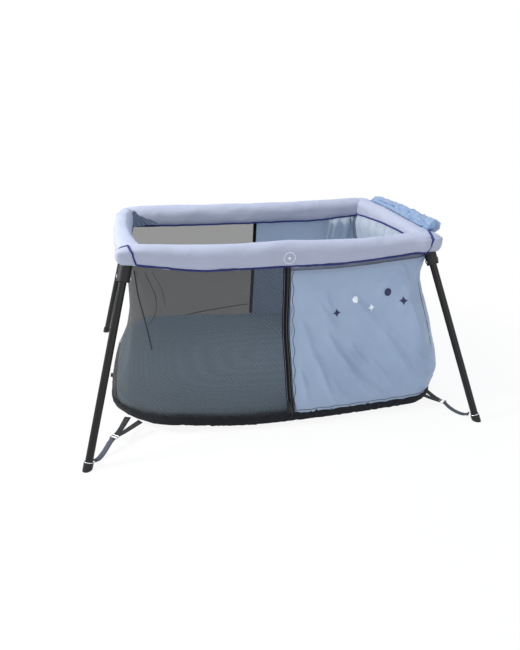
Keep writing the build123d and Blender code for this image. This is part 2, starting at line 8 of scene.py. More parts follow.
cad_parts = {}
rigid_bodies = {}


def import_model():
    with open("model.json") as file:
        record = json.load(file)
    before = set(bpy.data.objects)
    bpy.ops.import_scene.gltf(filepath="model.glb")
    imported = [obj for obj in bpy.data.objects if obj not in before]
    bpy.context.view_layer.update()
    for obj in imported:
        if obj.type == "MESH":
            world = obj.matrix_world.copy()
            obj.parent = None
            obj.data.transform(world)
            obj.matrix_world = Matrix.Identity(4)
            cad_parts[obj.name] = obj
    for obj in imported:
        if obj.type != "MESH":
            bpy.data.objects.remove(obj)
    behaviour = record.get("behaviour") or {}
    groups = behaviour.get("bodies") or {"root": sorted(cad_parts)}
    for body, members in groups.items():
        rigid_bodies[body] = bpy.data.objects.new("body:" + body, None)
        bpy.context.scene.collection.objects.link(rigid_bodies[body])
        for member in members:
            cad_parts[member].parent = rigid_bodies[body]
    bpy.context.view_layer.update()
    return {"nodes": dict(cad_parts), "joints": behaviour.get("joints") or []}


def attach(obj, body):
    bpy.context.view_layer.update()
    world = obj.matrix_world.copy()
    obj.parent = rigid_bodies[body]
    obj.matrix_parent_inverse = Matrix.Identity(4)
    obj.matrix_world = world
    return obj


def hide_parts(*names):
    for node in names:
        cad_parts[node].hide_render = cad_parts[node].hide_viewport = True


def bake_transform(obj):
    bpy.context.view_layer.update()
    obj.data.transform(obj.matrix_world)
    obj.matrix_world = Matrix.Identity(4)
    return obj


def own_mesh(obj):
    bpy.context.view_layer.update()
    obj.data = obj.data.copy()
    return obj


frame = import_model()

# Travel cot with a folding rim, two fabric ends and splayed legs. Metres, X along the length, front at -Y.

nodes = frame["nodes"]
cornerX, cornerY = 0.500, 0.290


# Helpers


def linear(hexText):
    parts = [int(hexText[i:i + 2], 16) / 255 for i in (1, 3, 5)]
    return tuple(c / 12.92 if c <= 0.04045 else ((c + 0.055) / 1.055) ** 2.4 for c in parts) + (1,)


def addNode(tree, kind, inputs=None, **settings):
    node = tree.nodes.new(kind)
    for key, value in settings.items():
        setattr(node, key, value)
    for key, value in (inputs or {}).items():
        if isinstance(value, bpy.types.NodeSocket):
            tree.links.new(value, node.inputs[key])
        else:
            node.inputs[key].default_value = value
    return node


def startMaterial(name):
    material = bpy.data.materials.new(name)
    material.use_nodes = True
    material.node_tree.nodes.clear()
    return material, material.node_tree


def addPiece(name, vertices, faces, material, uv=None):
    mesh = bpy.data.meshes.new(name)
    mesh.from_pydata([tuple(map(float, v)) for v in vertices], [], faces)
    if uv is not None:
        layer = mesh.uv_layers.new(name="cloth")
        layer.data.foreach_set("uv", np.asarray(uv, np.float32).ravel())
    mesh.polygons.foreach_set("use_smooth", [True] * len(mesh.polygons))
    mesh.materials.append(material)
    piece = bpy.data.objects.new(name, mesh)
    bpy.context.scene.collection.objects.link(piece)
    return piece


def makeGrid(name, points, material, around=False, loop=False, capped=False):
    # rows run along the piece, columns across it; UVs are in metres
    points = np.asarray(points, float)
    rows, columns = points.shape[:2]
    rowSteps, columnSteps = rows - (not loop), columns - (not around)
    wrapped = np.concatenate([points, points[:1]]) if loop else points
    alongStep = np.linalg.norm(np.diff(wrapped.mean(1), axis=0), axis=1)
    along = np.concatenate([[0], np.cumsum(alongStep)])
    middle = points[rows // 2]
    middle = np.concatenate([middle, middle[:1]]) if around else middle
    across = np.concatenate([[0], np.cumsum(np.linalg.norm(np.diff(middle, axis=0), axis=1))])
    faces, uv = [], []
    for i in range(rowSteps):
        for j in range(columnSteps):
            k, m = (i + 1) % rows, (j + 1) % columns
            faces.append((i * columns + j, k * columns + j, k * columns + m, i * columns + m))
            uv += [(along[i], across[j]), (along[i + 1], across[j]),
                (along[i + 1], across[j + 1]), (along[i], across[j + 1])]
    vertices = list(points.reshape(-1, 3))
    if capped:
        for row, flip in ((0, False), (rows - 1, True)):
            vertices.append(points[row].mean(0))
            for j in range(columnSteps):
                a, b = row * columns + j, row * columns + (j + 1) % columns
                faces.append((len(vertices) - 1, b, a) if flip else (len(vertices) - 1, a, b))
                uv += [(0, 0), (0.01, 0), (0, 0.01)]
    return addPiece(name, vertices, faces, material, uv)


def turn(count):
    # angles spread evenly round a circle
    return np.linspace(0, 2 * math.pi, count, endpoint=False)


def throughPoints(points, count):
    # a smooth line through a few points
    points = np.asarray(points, float)
    padded = np.concatenate([[2 * points[0] - points[1]], points, [2 * points[-1] - points[-2]]])
    line = []
    for t in np.linspace(0, len(points) - 1, count):
        i = min(int(t), len(points) - 2)
        f = t - i
        a, b, c, d = padded[i:i + 4]
        line.append(0.5 * (2 * b + (c - a) * f + (2 * a - 5 * b + 4 * c - d) * f ** 2
            + (3 * b - a - 3 * c + d) * f ** 3))
    return np.array(line)


def frames(line):
    # a direction and two normals at each point, turning as little as possible
    direction = np.gradient(np.asarray(line, float), axis=0)
    direction /= np.linalg.norm(direction, axis=1)[:, None]
    first = np.cross(direction[0], (0, 0, 1))
    if np.linalg.norm(first) < 0.1:
        first = np.cross(direction[0], (1, 0, 0))
    normals = [first / np.linalg.norm(first)]
    for d in direction[1:]:
        n = normals[-1] - d * np.dot(normals[-1], d)
        normals.append(n / np.linalg.norm(n))
    normals = np.array(normals)
    return direction, normals, np.cross(direction, normals)


def makeTube(name, line, radius, material, sides=10):
    line = np.asarray(line, float)
    _, n, b = frames(line)
    radii = np.broadcast_to(np.asarray(radius, float), (len(line),))
    angles = turn(sides)
    rows = [[p + r * (math.cos(a) * u + math.sin(a) * v) for a in angles]
        for p, r, u, v in zip(line, radii, n, b)]
    return makeGrid(name, rows, material, around=True, capped=True)


def makeStrap(name, line, across, width, thickness, material):
    line = np.asarray(line, float)
    across = np.broadcast_to(np.asarray(across, float), line.shape)
    direction = np.gradient(line, axis=0)
    direction /= np.linalg.norm(direction, axis=1)[:, None]
    across = across - direction * np.sum(across * direction, 1)[:, None]
    across /= np.linalg.norm(across, axis=1)[:, None]
    up = np.cross(across, direction)
    width = np.broadcast_to(np.asarray(width, float), (len(line),))
    shape = [(-0.5, 0), (-0.47, 0.5), (-0.2, 0.56), (0.2, 0.56), (0.47, 0.5),
        (0.5, 0), (0.47, -0.5), (0.2, -0.56), (-0.2, -0.56), (-0.47, -0.5)]
    rows = [[p + a * w * s[0] + u * thickness * s[1] * 0.9 for s in shape]
        for p, a, u, w in zip(line, across, up, width)]
    return makeGrid(name, rows, material, around=True, capped=True)


def ripple(x, y, z=0.0):
    return noise.noise(Vector((x, y, z)))


def smoothStep(value, low, high):
    t = min(1.0, max(0.0, (value - low) / (high - low)))
    return t * t * (3 - 2 * t)


def bell(value, middle, width):
    return math.exp(-((value - middle) / width) ** 2)


def halveTo(low, high, belowTarget, steps=26):
    # the place between low and high where belowTarget turns from true to false
    for _ in range(steps):
        middle = (low + high) / 2
        low, high = (middle, high) if belowTarget(middle) else (low, middle)
    return middle


# Camera


camera = {"place": (-0.429, -1.830, 1.051), "azimuth": -12.64, "elevation": 24.25, "roll": 0.82,
    "lens": 27.99, "sensor": 36}
azimuth, elevation, roll = (math.radians(camera[k]) for k in ("azimuth", "elevation", "roll"))
back = Vector((math.sin(azimuth) * math.cos(elevation), -math.cos(azimuth) * math.cos(elevation),
    math.sin(elevation)))
right = Vector((0, 0, 1)).cross(back).normalized()
up = back.cross(right)
right, up = (math.cos(roll) * right + math.sin(roll) * up, math.cos(roll) * up - math.sin(roll) * right)
cameraData = bpy.data.cameras.new("camera")
cameraData.lens = camera["lens"]
cameraData.sensor_width = camera["sensor"]
cameraData.clip_start = 0.05
cameraObject = bpy.data.objects.new("camera", cameraData)
bpy.context.scene.collection.objects.link(cameraObject)
cameraObject.matrix_world = Matrix((
    (right.x, up.x, back.x, camera["place"][0]),
    (right.y, up.y, back.y, camera["place"][1]),
    (right.z, up.z, back.z, camera["place"][2]),
    (0, 0, 0, 1),
))
bpy.context.scene.camera = cameraObject
print("camera is set")


# Materials


plainCloth = {"contrast": 0.25, "creases": 30, "creaseDepth": 0.2, "relief": 0.3, "roughness": 0.8,
    "sheen": 0.1, "nap": "#C8D0DC", "specular": 0.3}


def makeWoven(name, look):
    # thread relief, soft mottling and a slight nap on one shader
    look = {**plainCloth, **look}
    material, tree = startMaterial(name)
    cloth = addNode(tree, "ShaderNodeUVMap", uv_map="cloth").outputs["UV"]
    place = addNode(tree, "ShaderNodeTexCoord").outputs["Object"]
    threads = 1 / (look["threadMm"] * 0.001)
    scaled = addNode(tree, "ShaderNodeMapping", {"Vector": cloth, "Scale": (threads, threads, 1)})
    warp, weft = (addNode(tree, "ShaderNodeTexWave", {
        "Vector": scaled.outputs[0], "Scale": 0.5, "Distortion": 0.4, "Detail": 1.0},
        wave_type="BANDS", bands_direction=axis) for axis in "XY")
    weave = addNode(tree, "ShaderNodeMath", {0: warp.outputs["Fac"], 1: weft.outputs["Fac"]},
        operation="MAXIMUM")
    mottle = addNode(tree, "ShaderNodeTexNoise", {"Vector": place, "Scale": look["mottle"],
        "Detail": 4.0, "Roughness": 0.6})
    tint = addNode(tree, "ShaderNodeMix", {"Factor": mottle.outputs["Fac"],
        "A": linear(look["dark"]), "B": linear(look["light"])}, data_type="RGBA")
    shade = addNode(tree, "ShaderNodeMapRange", {"Value": weave.outputs[0],
        "To Min": 1 - look["contrast"], "To Max": 1.0})
    colour = addNode(tree, "ShaderNodeVectorMath", {0: tint.outputs["Result"], 1: shade.outputs[0]},
        operation="MULTIPLY")
    creases = addNode(tree, "ShaderNodeTexNoise", {"Vector": place, "Scale": look["creases"],
        "Detail": 2.0, "Distortion": 0.6})
    soft = addNode(tree, "ShaderNodeBump", {"Height": creases.outputs["Fac"],
        "Strength": look["creaseDepth"], "Distance": 0.01})
    bump = addNode(tree, "ShaderNodeBump", {"Height": weave.outputs[0], "Strength": look["relief"],
        "Distance": 0.0006, "Normal": soft.outputs[0]})
    shader = addNode(tree, "ShaderNodeBsdfPrincipled", {
        "Base Color": colour.outputs[0], "Normal": bump.outputs[0], "Roughness": look["roughness"],
        "Sheen Weight": look["sheen"], "Sheen Roughness": 0.4,
        "Sheen Tint": linear(look["nap"]), "Specular IOR Level": look["specular"]})
    if look.get("through"):
        # thin cloth lets part of the light behind it through
        lit = addNode(tree, "ShaderNodeBsdfTranslucent", {"Color": colour.outputs[0],
            "Normal": bump.outputs[0]})
        shader = addNode(tree, "ShaderNodeMixShader", {0: look["through"], 1: shader.outputs[0],
            2: lit.outputs[0]})
    addNode(tree, "ShaderNodeOutputMaterial", {"Surface": shader.outputs[0]})
    return material


# Brushed polyester tricot over foam: a dull pale cloth with a bluish bloom where it turns away.
rimTricot = makeWoven("brushed polyester tricot", {
    "threadMm": 1.6, "mottle": 9, "dark": "#A3A8B9", "light": "#B3B8C9", "contrast": 0.05,
    "creases": 11, "creaseDepth": 0.45, "relief": 0.15, "roughness": 0.72, "sheen": 0.3, "nap": "#C9D8F4"})
# Woven polyester satin: long floats catch the light, so each fold shows a whitish streak.
satinLook = {"threadMm": 1.8, "mottle": 7, "dark": "#9DB0C9", "light": "#B0C2D8", "contrast": 0.03,
    "creases": 16, "creaseDepth": 0.45, "relief": 0.08, "roughness": 0.36, "sheen": 0.2,
    "nap": "#EEF3FF", "specular": 0.7, "through": 0.36}
wallSatin = makeWoven("woven polyester satin", satinLook)
# a lighter copy of the satin for the loose lining: the light that its pleats catch is painted into its
# colour, so it reads nearly white
litLiningSatin = makeWoven("loose satin lining with painted light", {**satinLook, "dark": "#BFCBDA", "light": "#DFE7F0"})
# Thin calendered nylon: smoother and bluer than the satin, with a sharper gloss on its puckers.
canopyNylon = makeWoven("calendered nylon", {
    "threadMm": 1.2, "mottle": 26, "dark": "#647FA6", "light": "#8FA6C4", "contrast": 0.03,
    "creases": 34, "creaseDepth": 0.9, "relief": 0.06, "roughness": 0.32, "sheen": 0.2,
    "nap": "#E4EEFF", "specular": 0.5})
# Blue-grey polyester oxford with a speckled yarn, flat and matt.
mattressOxford = makeWoven("polyester oxford", {
    "threadMm": 2.6, "mottle": 210, "dark": "#8CA2B2", "light": "#C2D3DE", "contrast": 0.14,
    "creases": 8, "creaseDepth": 0.3, "relief": 0.35, "roughness": 0.9, "nap": "#C8D2DA", "specular": 0.2})
# Needled black felt: no gloss, a fuzzy edge and grey fluff.
baseFelt = makeWoven("needled felt", {"threadMm": 4.0, "mottle": 130, "dark": "#121316", "light": "#2E2F33",
    "creases": 40, "creaseDepth": 0.7, "relief": 0.6, "roughness": 0.95, "sheen": 0.25,
    "nap": "#8A8C92", "specular": 0.15})
# Bias-cut navy twill folded round a cord.
navyPiping = makeWoven("navy bias twill", {
    "threadMm": 1.4, "mottle": 60, "dark": "#20265E", "light": "#2C3576", "contrast": 0.15,
    "creases": 60, "roughness": 0.7, "sheen": 0.15, "nap": "#8C96D8"})
# Grey grosgrain tape sewn between rim and satin; its grey is partly the tape's own and partly painted shade
# from under the rim.
greyTapeWithShade = makeWoven("grosgrain tape with painted shade", {
    "threadMm": 2.0, "mottle": 30, "dark": "#6E7480", "light": "#828893", "contrast": 0.12,
    "creases": 20, "nap": "#C8CCD4", "specular": 0.25})
# Woven polypropylene webbing: ribbed, slightly glossy yarn.
blackWebbing = makeWoven("polypropylene webbing", {
    "threadMm": 2.2, "mottle": 50, "dark": "#141518", "light": "#26282C", "contrast": 0.3,
    "relief": 0.6, "roughness": 0.6, "nap": "#7A7E86", "specular": 0.4})
navyWebbing = makeWoven("navy polyester webbing", {
    "threadMm": 2.0, "mottle": 50, "dark": "#2C333F", "light": "#4A5362",
    "relief": 0.5, "roughness": 0.55, "sheen": 0.15, "nap": "#9AA4B4", "specular": 0.4})
# The same satin darkened with painted shade, for the deep shade inside the corner, gathered into fine pleats.
shadedGussetSatin = makeWoven("pleated satin gusset in painted shade", {
    "threadMm": 1.8, "mottle": 30, "dark": "#4A566A", "light": "#5C6A80", "contrast": 0.08,
    "creases": 60, "creaseDepth": 0.5, "relief": 0.1, "roughness": 0.55, "sheen": 0.15,
    "nap": "#C8D0E0", "specular": 0.4})
# Zip tape: a tight black herringbone.
zipTwill = makeWoven("zip tape twill", {
    "threadMm": 2.4, "mottle": 40, "dark": "#0D0E11", "light": "#18191C",
    "creases": 24, "creaseDepth": 0.3, "relief": 0.4, "sheen": 0.03, "nap": "#50545C", "specular": 0.15})


def makeKnitMesh(name, look):
    # warp-knitted net: holes let the light through, and the knit's columns stay faintly visible
    material, tree = startMaterial(name)
    cloth = addNode(tree, "ShaderNodeUVMap", uv_map="cloth").outputs["UV"]
    pitch = 1 / (look["holeMm"] * 0.001)
    scaled = addNode(tree, "ShaderNodeMapping", {"Vector": cloth, "Scale": (pitch, pitch * 0.8, 1)})
    holes = addNode(tree, "ShaderNodeTexVoronoi", {"Vector": scaled.outputs[0], "Scale": 1.0,
        "Randomness": 0.15}, voronoi_dimensions="2D")
    moire = addNode(tree, "ShaderNodeTexWave", {"Vector": cloth, "Scale": look["moire"],
        "Distortion": 9.0, "Detail": 1.0, "Detail Scale": 0.4},
        wave_type="BANDS", bands_direction="DIAGONAL")
    open_ = addNode(tree, "ShaderNodeMapRange", {"Value": holes.outputs["Distance"], "From Min": 0.25,
        "From Max": 0.5, "To Min": look["leastCover"], "To Max": look["mostCover"]})
    cover = addNode(tree, "ShaderNodeMath", {0: moire.outputs["Fac"], 1: look["moireDepth"],
        2: open_.outputs[0]}, operation="MULTIPLY_ADD")
    yarn = addNode(tree, "ShaderNodeBsdfPrincipled", {
        "Base Color": linear(look["yarn"]), "Roughness": 0.7, "Sheen Weight": 0.1,
        "Sheen Tint": linear("#B8BCC4"), "Specular IOR Level": 0.2})
    clear = addNode(tree, "ShaderNodeBsdfTransparent", {"Color": (1, 1, 1, 1)})
    net = addNode(tree, "ShaderNodeMixShader", {0: cover.outputs[0], 1: clear.outputs[0],
        2: yarn.outputs[0]})
    addNode(tree, "ShaderNodeOutputMaterial", {"Surface": net.outputs[0]})
    return material


# Black polyester warp knit, drawn at about twice its real hole size so that it still shows.
blackNet = makeKnitMesh("polyester warp knit", {
    "holeMm": 2.4, "moire": 55, "moireDepth": 0.07, "leastCover": 0.52, "mostCover": 0.8,
    "yarn": "#2E3032"})


def makeSolid(name, look):
    # paint, plastic or metal with a fine grain in its roughness and relief
    material, tree = startMaterial(name)
    place = addNode(tree, "ShaderNodeTexCoord").outputs["Object"]
    grain = addNode(tree, "ShaderNodeTexNoise", {"Vector": place, "Scale": 1000 / look["grainMm"],
        "Detail": 2.0})
    wear = addNode(tree, "ShaderNodeTexNoise", {"Vector": place, "Scale": 18.0, "Detail": 5.0})
    tint = addNode(tree, "ShaderNodeMix", {"Factor": wear.outputs["Fac"], "A": linear(look["dark"]),
        "B": linear(look["light"])}, data_type="RGBA")
    rough = addNode(tree, "ShaderNodeMapRange", {"Value": wear.outputs["Fac"],
        "To Min": look["roughness"] - 0.08, "To Max": look["roughness"] + 0.08})
    bump = addNode(tree, "ShaderNodeBump", {"Height": grain.outputs["Fac"],
        "Strength": look["relief"], "Distance": 0.0003})
    shader = addNode(tree, "ShaderNodeBsdfPrincipled", {
        "Base Color": tint.outputs["Result"], "Metallic": look.get("metallic", 0.0),
        "Roughness": rough.outputs[0], "Normal": bump.outputs[0], "IOR": look.get("ior", 1.5),
        "Specular IOR Level": look.get("specular", 0.5)})
    addNode(tree, "ShaderNodeOutputMaterial", {"Surface": shader.outputs[0]})
    return material


# Powder-coated steel tube: near black, with a soft grey line of light down its length.
coatedSteel = makeSolid("powder coated steel", {
    "grainMm": 0.8, "dark": "#0E0F11", "light": "#17181A", "roughness": 0.34, "relief": 0.2,
    "specular": 0.28})
# Injection-moulded nylon: a fine spark-eroded grain, duller than the tubes.
mouldedNylon = makeSolid("moulded nylon", {
    "grainMm": 0.6, "dark": "#111215", "light": "#1C1D20", "roughness": 0.5, "relief": 0.35, "ior": 1.53,
    "specular": 0.3})
# Injection-moulded acetal: pale grey and smooth.
mouldedButton = makeSolid("moulded acetal", {
    "grainMm": 0.6, "dark": "#9FA4AE", "light": "#B4B9C2", "roughness": 0.4, "relief": 0.1, "ior": 1.48})
# Zinc plate: a dull grey metal.
zincSteel = makeSolid("zinc plated steel", {
    "grainMm": 0.5, "dark": "#A9ABAD", "light": "#C4C6C8", "roughness": 0.34, "relief": 0.1, "metallic": 1.0})
# Chromed wire: bright, so that ring and hook glint against the webbing.
chromedWire = makeSolid("chromed wire", {
    "grainMm": 0.5, "dark": "#C9CBCE", "light": "#DADCDE", "roughness": 0.18, "relief": 0.05,
    "metallic": 1.0})
# Wound nylon filament: a black ridge with a faint shine.
nylonCoil = makeSolid("nylon coil", {
    "grainMm": 0.5, "dark": "#17181B", "light": "#26282C", "roughness": 0.45, "relief": 0.2})
# Screen-printed ink: flat and matt on the cloth, in white and in navy.
inkLook = {"grainMm": 0.9, "roughness": 0.6, "relief": 0.3}
whiteInk = makeSolid("white screen print", {**inkLook, "dark": "#E6EAF0", "light": "#F2F5F8"})
navyInk = makeSolid("navy screen print", {**inkLook, "dark": "#1B1B48", "light": "#232356"})
# Spun polyester thread: a thin matt black line.
sewingThread = makeSolid("black sewing thread", {
    "grainMm": 0.7, "dark": "#17181B", "light": "#26282C", "roughness": 0.7, "relief": 0.4})

# what each CAD node is made of, by the end of its name; the first match counts
finishes = (
    (("_rail", "_leg"), coatedSteel),
    (("bracket", "collar", "foot_cap", "hinge_fork", "hinge_tongue", "zip_slider", "zip_pull"), mouldedNylon),
    (("release_button",), mouldedButton),
    (("rivets", "pin", "spring"), zincSteel),
    (("ring", "hook"), chromedWire),
)
for name in nodes:
    for endings, material in finishes:
        if name.endswith(endings):
            nodes[name].data.materials.clear()
            nodes[name].data.materials.append(material)
            break
print("materials are made")


# Tethers: webbing from the base to a ring, and a strap from the ring to the hook round the leg

tether = {
    "strapWidth": 0.020, "strapThick": 0.0022, "innerBar": 0.139, "outerBar": 0.121,
    "footX": 0.671, "footY": 0.512, "armWidth": (0.015, 0.024), "armThick": 0.0024,
    "armEnd": 0.232, "armSpread": 0.027, "baseEdge": 0.24, "loopIn": 0.0019, "loopOut": 0.0036,
    "left": {"height": 0.034, "route": ((0.102, 0.026), (0.080, 0.0135), (0.058, 0.0055), (0.044, 0.0052))},
    "right": {"height": 0.023, "route": ((0.104, 0.012), (0.081, 0.0044), (0.060, 0.0024), (0.045, 0.0046))},
}
for endName, end in (("left", -1), ("right", 1)):
    facts = tether[endName]
    body = f"front_{endName}_leg"
    foot = np.array([end * tether["footX"], -tether["footY"], 0])
    inward = np.array([end * (cornerX - tether["footX"]), tether["footY"] - cornerY, 0])
    inward /= np.linalg.norm(inward)
    sideways = np.cross((0, 0, 1), inward)
    hookPoints = np.array([v.co for v in nodes[f"front_{endName}_tether_hook"].data.vertices])
    reach = (hookPoints - foot) @ inward
    barPoints = hookPoints[reach > reach.max() - 0.0025]
    bar = foot + inward * (reach.max() - 0.0015) + np.array([0, 0, barPoints[:, 2].mean()])
    ringBar = foot + inward * tether["outerBar"] + (0, 0, facts["height"])
    line = throughPoints([ringBar, *(foot + inward * u + (0, 0, z) for u, z in facts["route"]), bar], 40)
    print(f"{endName} strap is {np.linalg.norm(np.diff(line, axis=0), axis=1).sum() * 1000:.0f} mm long")
    strap = makeStrap(f"front_{endName}_strap", line, sideways, tether["strapWidth"], tether["strapThick"],
        navyWebbing)
    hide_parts(f"front_{endName}_tether_strap")
    pieces = [strap]
    for label, place in (("ring", ringBar), ("hook", bar)):
        rows = []
        for t in turn(20):
            radial = math.cos(t) * inward + math.sin(t) * np.array([0, 0, 1])
            rows.append([place + radial * tether[r] + sideways * s * tether["strapWidth"]
                for r, s in (("loopOut", -0.49), ("loopOut", 0.49), ("loopIn", 0.49), ("loopIn", -0.49))])
        pieces.append(makeGrid(f"front_{endName}_{label}_loop", rows, navyWebbing, around=True, loop=True))

    # two webbing arms sewn to the base, meeting at the ring with a gap of daylight between them
    innerBar = foot + inward * tether["innerBar"] + (0, 0, facts["height"])
    arms = []
    for arm in (-1, 1):
        start = innerBar + sideways * arm * 0.0035 + inward * -0.004
        finish = foot + inward * tether["armEnd"] + sideways * arm * tether["armSpread"] + (0, 0, 0.040)
        waist = start * 0.62 + finish * 0.38 + sideways * arm * -0.002 + (0, 0, -0.003)
        armLine = throughPoints([start, waist, finish], 18)
        width = np.linspace(*tether["armWidth"], 18)
        webbing = makeStrap(f"front_{endName}_web_{'outer' if arm < 0 else 'inner'}", armLine,
            sideways + inward * 0.25 * -arm, width, tether["armThick"], blackWebbing)
        arms.append(webbing)
    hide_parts(f"front_{endName}_webbing")
    for slot, group in (("navy_webbing", pieces), ("black_webbing", arms)):
        for piece in group:
            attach(piece, body)
            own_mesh(piece)
print("tethers are made")


# Rim cover: a padded sleeve round the whole rim, sewn together at the corners

# lifts are height, reach and power; corner heights run left, right
rim = {"halfWidth": 0.0355, "frontMiddle": 0.6225, "rearMiddle": 0.641, "frontCorner": (0.639, 0.638),
    "rearCorner": (0.644, 0.652), "frontLow": 0.5545, "rearLow": 0.566,
    "seamUp": 0.036, "sleeveEnd": 0.440, "elbowEnd": 0.225, "bow": 0.020, "bowChord": 0.284,
    "lift": {"frontLeft": (0.035, 0.235, 1.25), "frontRight": (0.031, 0.35, 1.55),
        "rearLeft": (0.004, 0.2, 1.2), "rearRight": (0.022, 0.26, 1.4)},
    "pipe": 0.0035, "upperCurve": 2.15, "lowerCurve": 3.2, "endSkew": 0.053,
    "hingeRise": 0.0088, "hingeReach": 0.14, "longSteps": 121, "endSteps": 61, "elbowSteps": 45, "around": 56,
    "dents": 0.0021, "puckers": 0.0019, "collar": (0.492, -0.283), "collarStand": 0.009, "collarReach": 0.035}
outerSeam, innerSeam = -math.pi / 4, math.pi * 1.25
joined = {frozenset((j["parent"], j["child"])) for j in frame["joints"]}


def rearShare(y):
    # from 0 at the front rail to 1 at the rear one
    return smoothStep(y, -0.27, 0.27)


def rimTop(x, y):
    rear = rearShare(y)
    middle = rim["frontMiddle"] * (1 - rear) + rim["rearMiddle"] * rear
    corner = rim["frontCorner"][x > 0] * (1 - rear) + rim["rearCorner"][x > 0] * rear
    height = middle + (corner - middle) * min(1.0, (abs(x) / 0.46) ** 2)
    if x < 0:
        height -= 0.005 * rear * smoothStep(-x, 0.46, 0.52) * smoothStep(y, 0.1, 0.28)
    # the pad rides up a little over the middle hinge
    height += rim["hingeRise"] * (1 - rear) * bell(x, 0, rim["hingeReach"])
    return height - 0.004 * smoothStep(abs(x), 0.47, 0.50) * (1 - min(1, abs(y) / cornerY) ** 2)


def rimLow(x, y):
    rear = rearShare(y)
    low = rim["frontLow"] * (1 - rear) + rim["rearLow"] * rear
    for side, name in ((-1, "front"), (1, "rear")):
        lift, reach, power = rim["lift"][name + ("Left" if x < 0 else "Right")]
        away = math.hypot(abs(x) - 0.4965, y - side * 0.2794)
        low += lift * max(0.0, (reach - away) / reach) ** power
    return low


def rimHalf(x, y):
    # the left end sleeve is drawn tighter than the others
    tight = 0.0325 - 0.0067 * y / 0.225 * 0.25
    share = smoothStep(-x, 0.44, 0.50)
    return rim["halfWidth"] * (1 - share) + tight * share


def endX(y):
    return cornerX + rim["bow"] * (1 - (y / rim["bowChord"]) ** 2)


def endCentre(end, y):
    # the left end is sewn a little askew
    x = endX(y)
    if end < 0:
        x += 0.0025 + rim["endSkew"] * y
    return x


def rimSection(centre, outward, angle, proud=0.0):
    x, y = centre
    middle = rimLow(x, y) + rim["seamUp"]
    c, s = math.cos(angle), math.sin(angle)
    power = 2 / (rim["upperCurve"] if s >= 0 else rim["lowerCurve"])
    a = math.copysign(abs(c) ** power, c)
    h = math.copysign(abs(s) ** power, s)
    rise = (rimTop(x, y) - middle) if s >= 0 else rim["seamUp"] / 0.7071 ** (2 / rim["lowerCurve"])
    out = Vector((outward[0], outward[1], 0))
    # slow dents in the foam, and short puckers that run up from the seams
    dents = rim["dents"] * ripple(x * 13 + 3.1 * y, y * 13, angle * 1.1)
    puckers = rim["puckers"] * ripple(x * 48 + angle * 2.5, y * 48, angle * 0.9) * (0.25 + 0.75 * max(0, -s))
    # the sleeve stands out over the collar of the front right leg
    if x > 0 and y < 0:
        over = math.hypot(x - rim["collar"][0], y - rim["collar"][1])
        proud += rim["collarStand"] * bell(over, 0, rim["collarReach"]) * max(0, c) * (1 if s < 0.2 else 0.4)
    grow = proud + dents + puckers
    place = Vector((x, y, middle)) + out * a * (rimHalf(x, y) + grow)
    place.z += h * (rise + grow)
    return place


def highSeam(centre, outward):
    # inside the right end the lining is sewn on at a height of its own, which drops to the rear
    target = np.interp(centre[1], (-0.28, -0.162, 0.014, 0.239, 0.29), (0.607, 0.604, 0.601, 0.590, 0.580))
    return halveTo(math.pi / 2, innerSeam, lambda angle: rimSection(centre, outward, angle).z > target, 24)


def longStations(side):
    xs = np.linspace(-rim["sleeveEnd"], rim["sleeveEnd"], rim["longSteps"])
    return [((x, side * cornerY), (0, side)) for x in xs]


def endSlope(end, y):
    return (endCentre(end, y + 0.001) - endCentre(end, y - 0.001)) / 0.002


def endStations(end):
    stations = []
    for y in np.linspace(-rim["elbowEnd"], rim["elbowEnd"], rim["endSteps"]):
        n = Vector((end, -endSlope(end, y))).normalized()
        stations.append(((end * endCentre(end, y), y), (n.x, n.y)))
    return stations


def elbowPoint(end, side, t):
    # t runs from the long sleeve to the end sleeve
    start = Vector((rim["sleeveEnd"], cornerY))
    finish = Vector((endCentre(end, side * rim["elbowEnd"]), rim["elbowEnd"]))
    slope = side * endSlope(end, side * rim["elbowEnd"])
    first = start + Vector((finish.x - start.x, 0))
    second = finish + Vector((slope, 1)) * (start.y - finish.y)
    point = (start * (1 - t) ** 3 + first * 3 * t * (1 - t) ** 2
        + second * 3 * t * t * (1 - t) + finish * t ** 3)
    tangent = ((first - start) * (1 - t) ** 2 + (second - first) * 2 * t * (1 - t)
        + (finish - second) * t ** 2).normalized()
    return (end * point.x, side * point.y), (end * -tangent.y, side * tangent.x)


def elbowStations(end, side, low=0.0, high=1.0, count=rim["elbowSteps"]):
    return [elbowPoint(end, side, t) for t in np.linspace(low, high, count)]


def makeCover(name, stations, crease=None):
    angles = turn(rim["around"])
    rows = []
    for i, (centre, outward) in enumerate(stations):
        proud = 0.0
        if crease:
            proud = -0.0045 * bell(i / (len(stations) - 1), crease, 0.035)
        rows.append([rimSection(centre, outward, a, proud) for a in angles])
    piece = makeGrid(name, rows, rimTricot, around=True)
    return piece


def makePiping(name, stations, angle):
    angles = np.broadcast_to(np.asarray(angle, float), (len(stations),))
    line = [rimSection(c, o, a, 0.0016) for (c, o), a in zip(stations, angles)]
    piece = makeTube(name, line, rim["pipe"], navyPiping)
    return piece


def followCorner(piece, half, endBody):
    if frozenset((endBody, half)) in joined:
        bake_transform(piece)
    else:
        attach(piece, endBody)


def followSide(piece):
    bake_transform(piece)


for sideName, side in (("front", -1), ("rear", 1)):
    cover = makeCover(f"{sideName}RimCover", longStations(side))
    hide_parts(f"{sideName}_left_rim_sleeve", f"{sideName}_right_rim_sleeve")
    pieces = [cover, makePiping(f"{sideName}OuterPiping", longStations(side), outerSeam),
        makePiping(f"{sideName}InnerPiping", longStations(side), innerSeam)]
    for piece in pieces:
        followSide(piece)
for endName, end in (("left", -1), ("right", 1)):
    cover = makeCover(f"{endName}RimCover", endStations(end))
    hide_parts(f"{endName}_rim_sleeve")
    for piece in (cover, makePiping(f"{endName}OuterPiping", endStations(end), outerSeam),
            makePiping(f"{endName}InnerPiping", endStations(end),
                [highSeam(*place) for place in endStations(end)] if end > 0 else innerSeam)):
        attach(piece, f"{endName}_end")

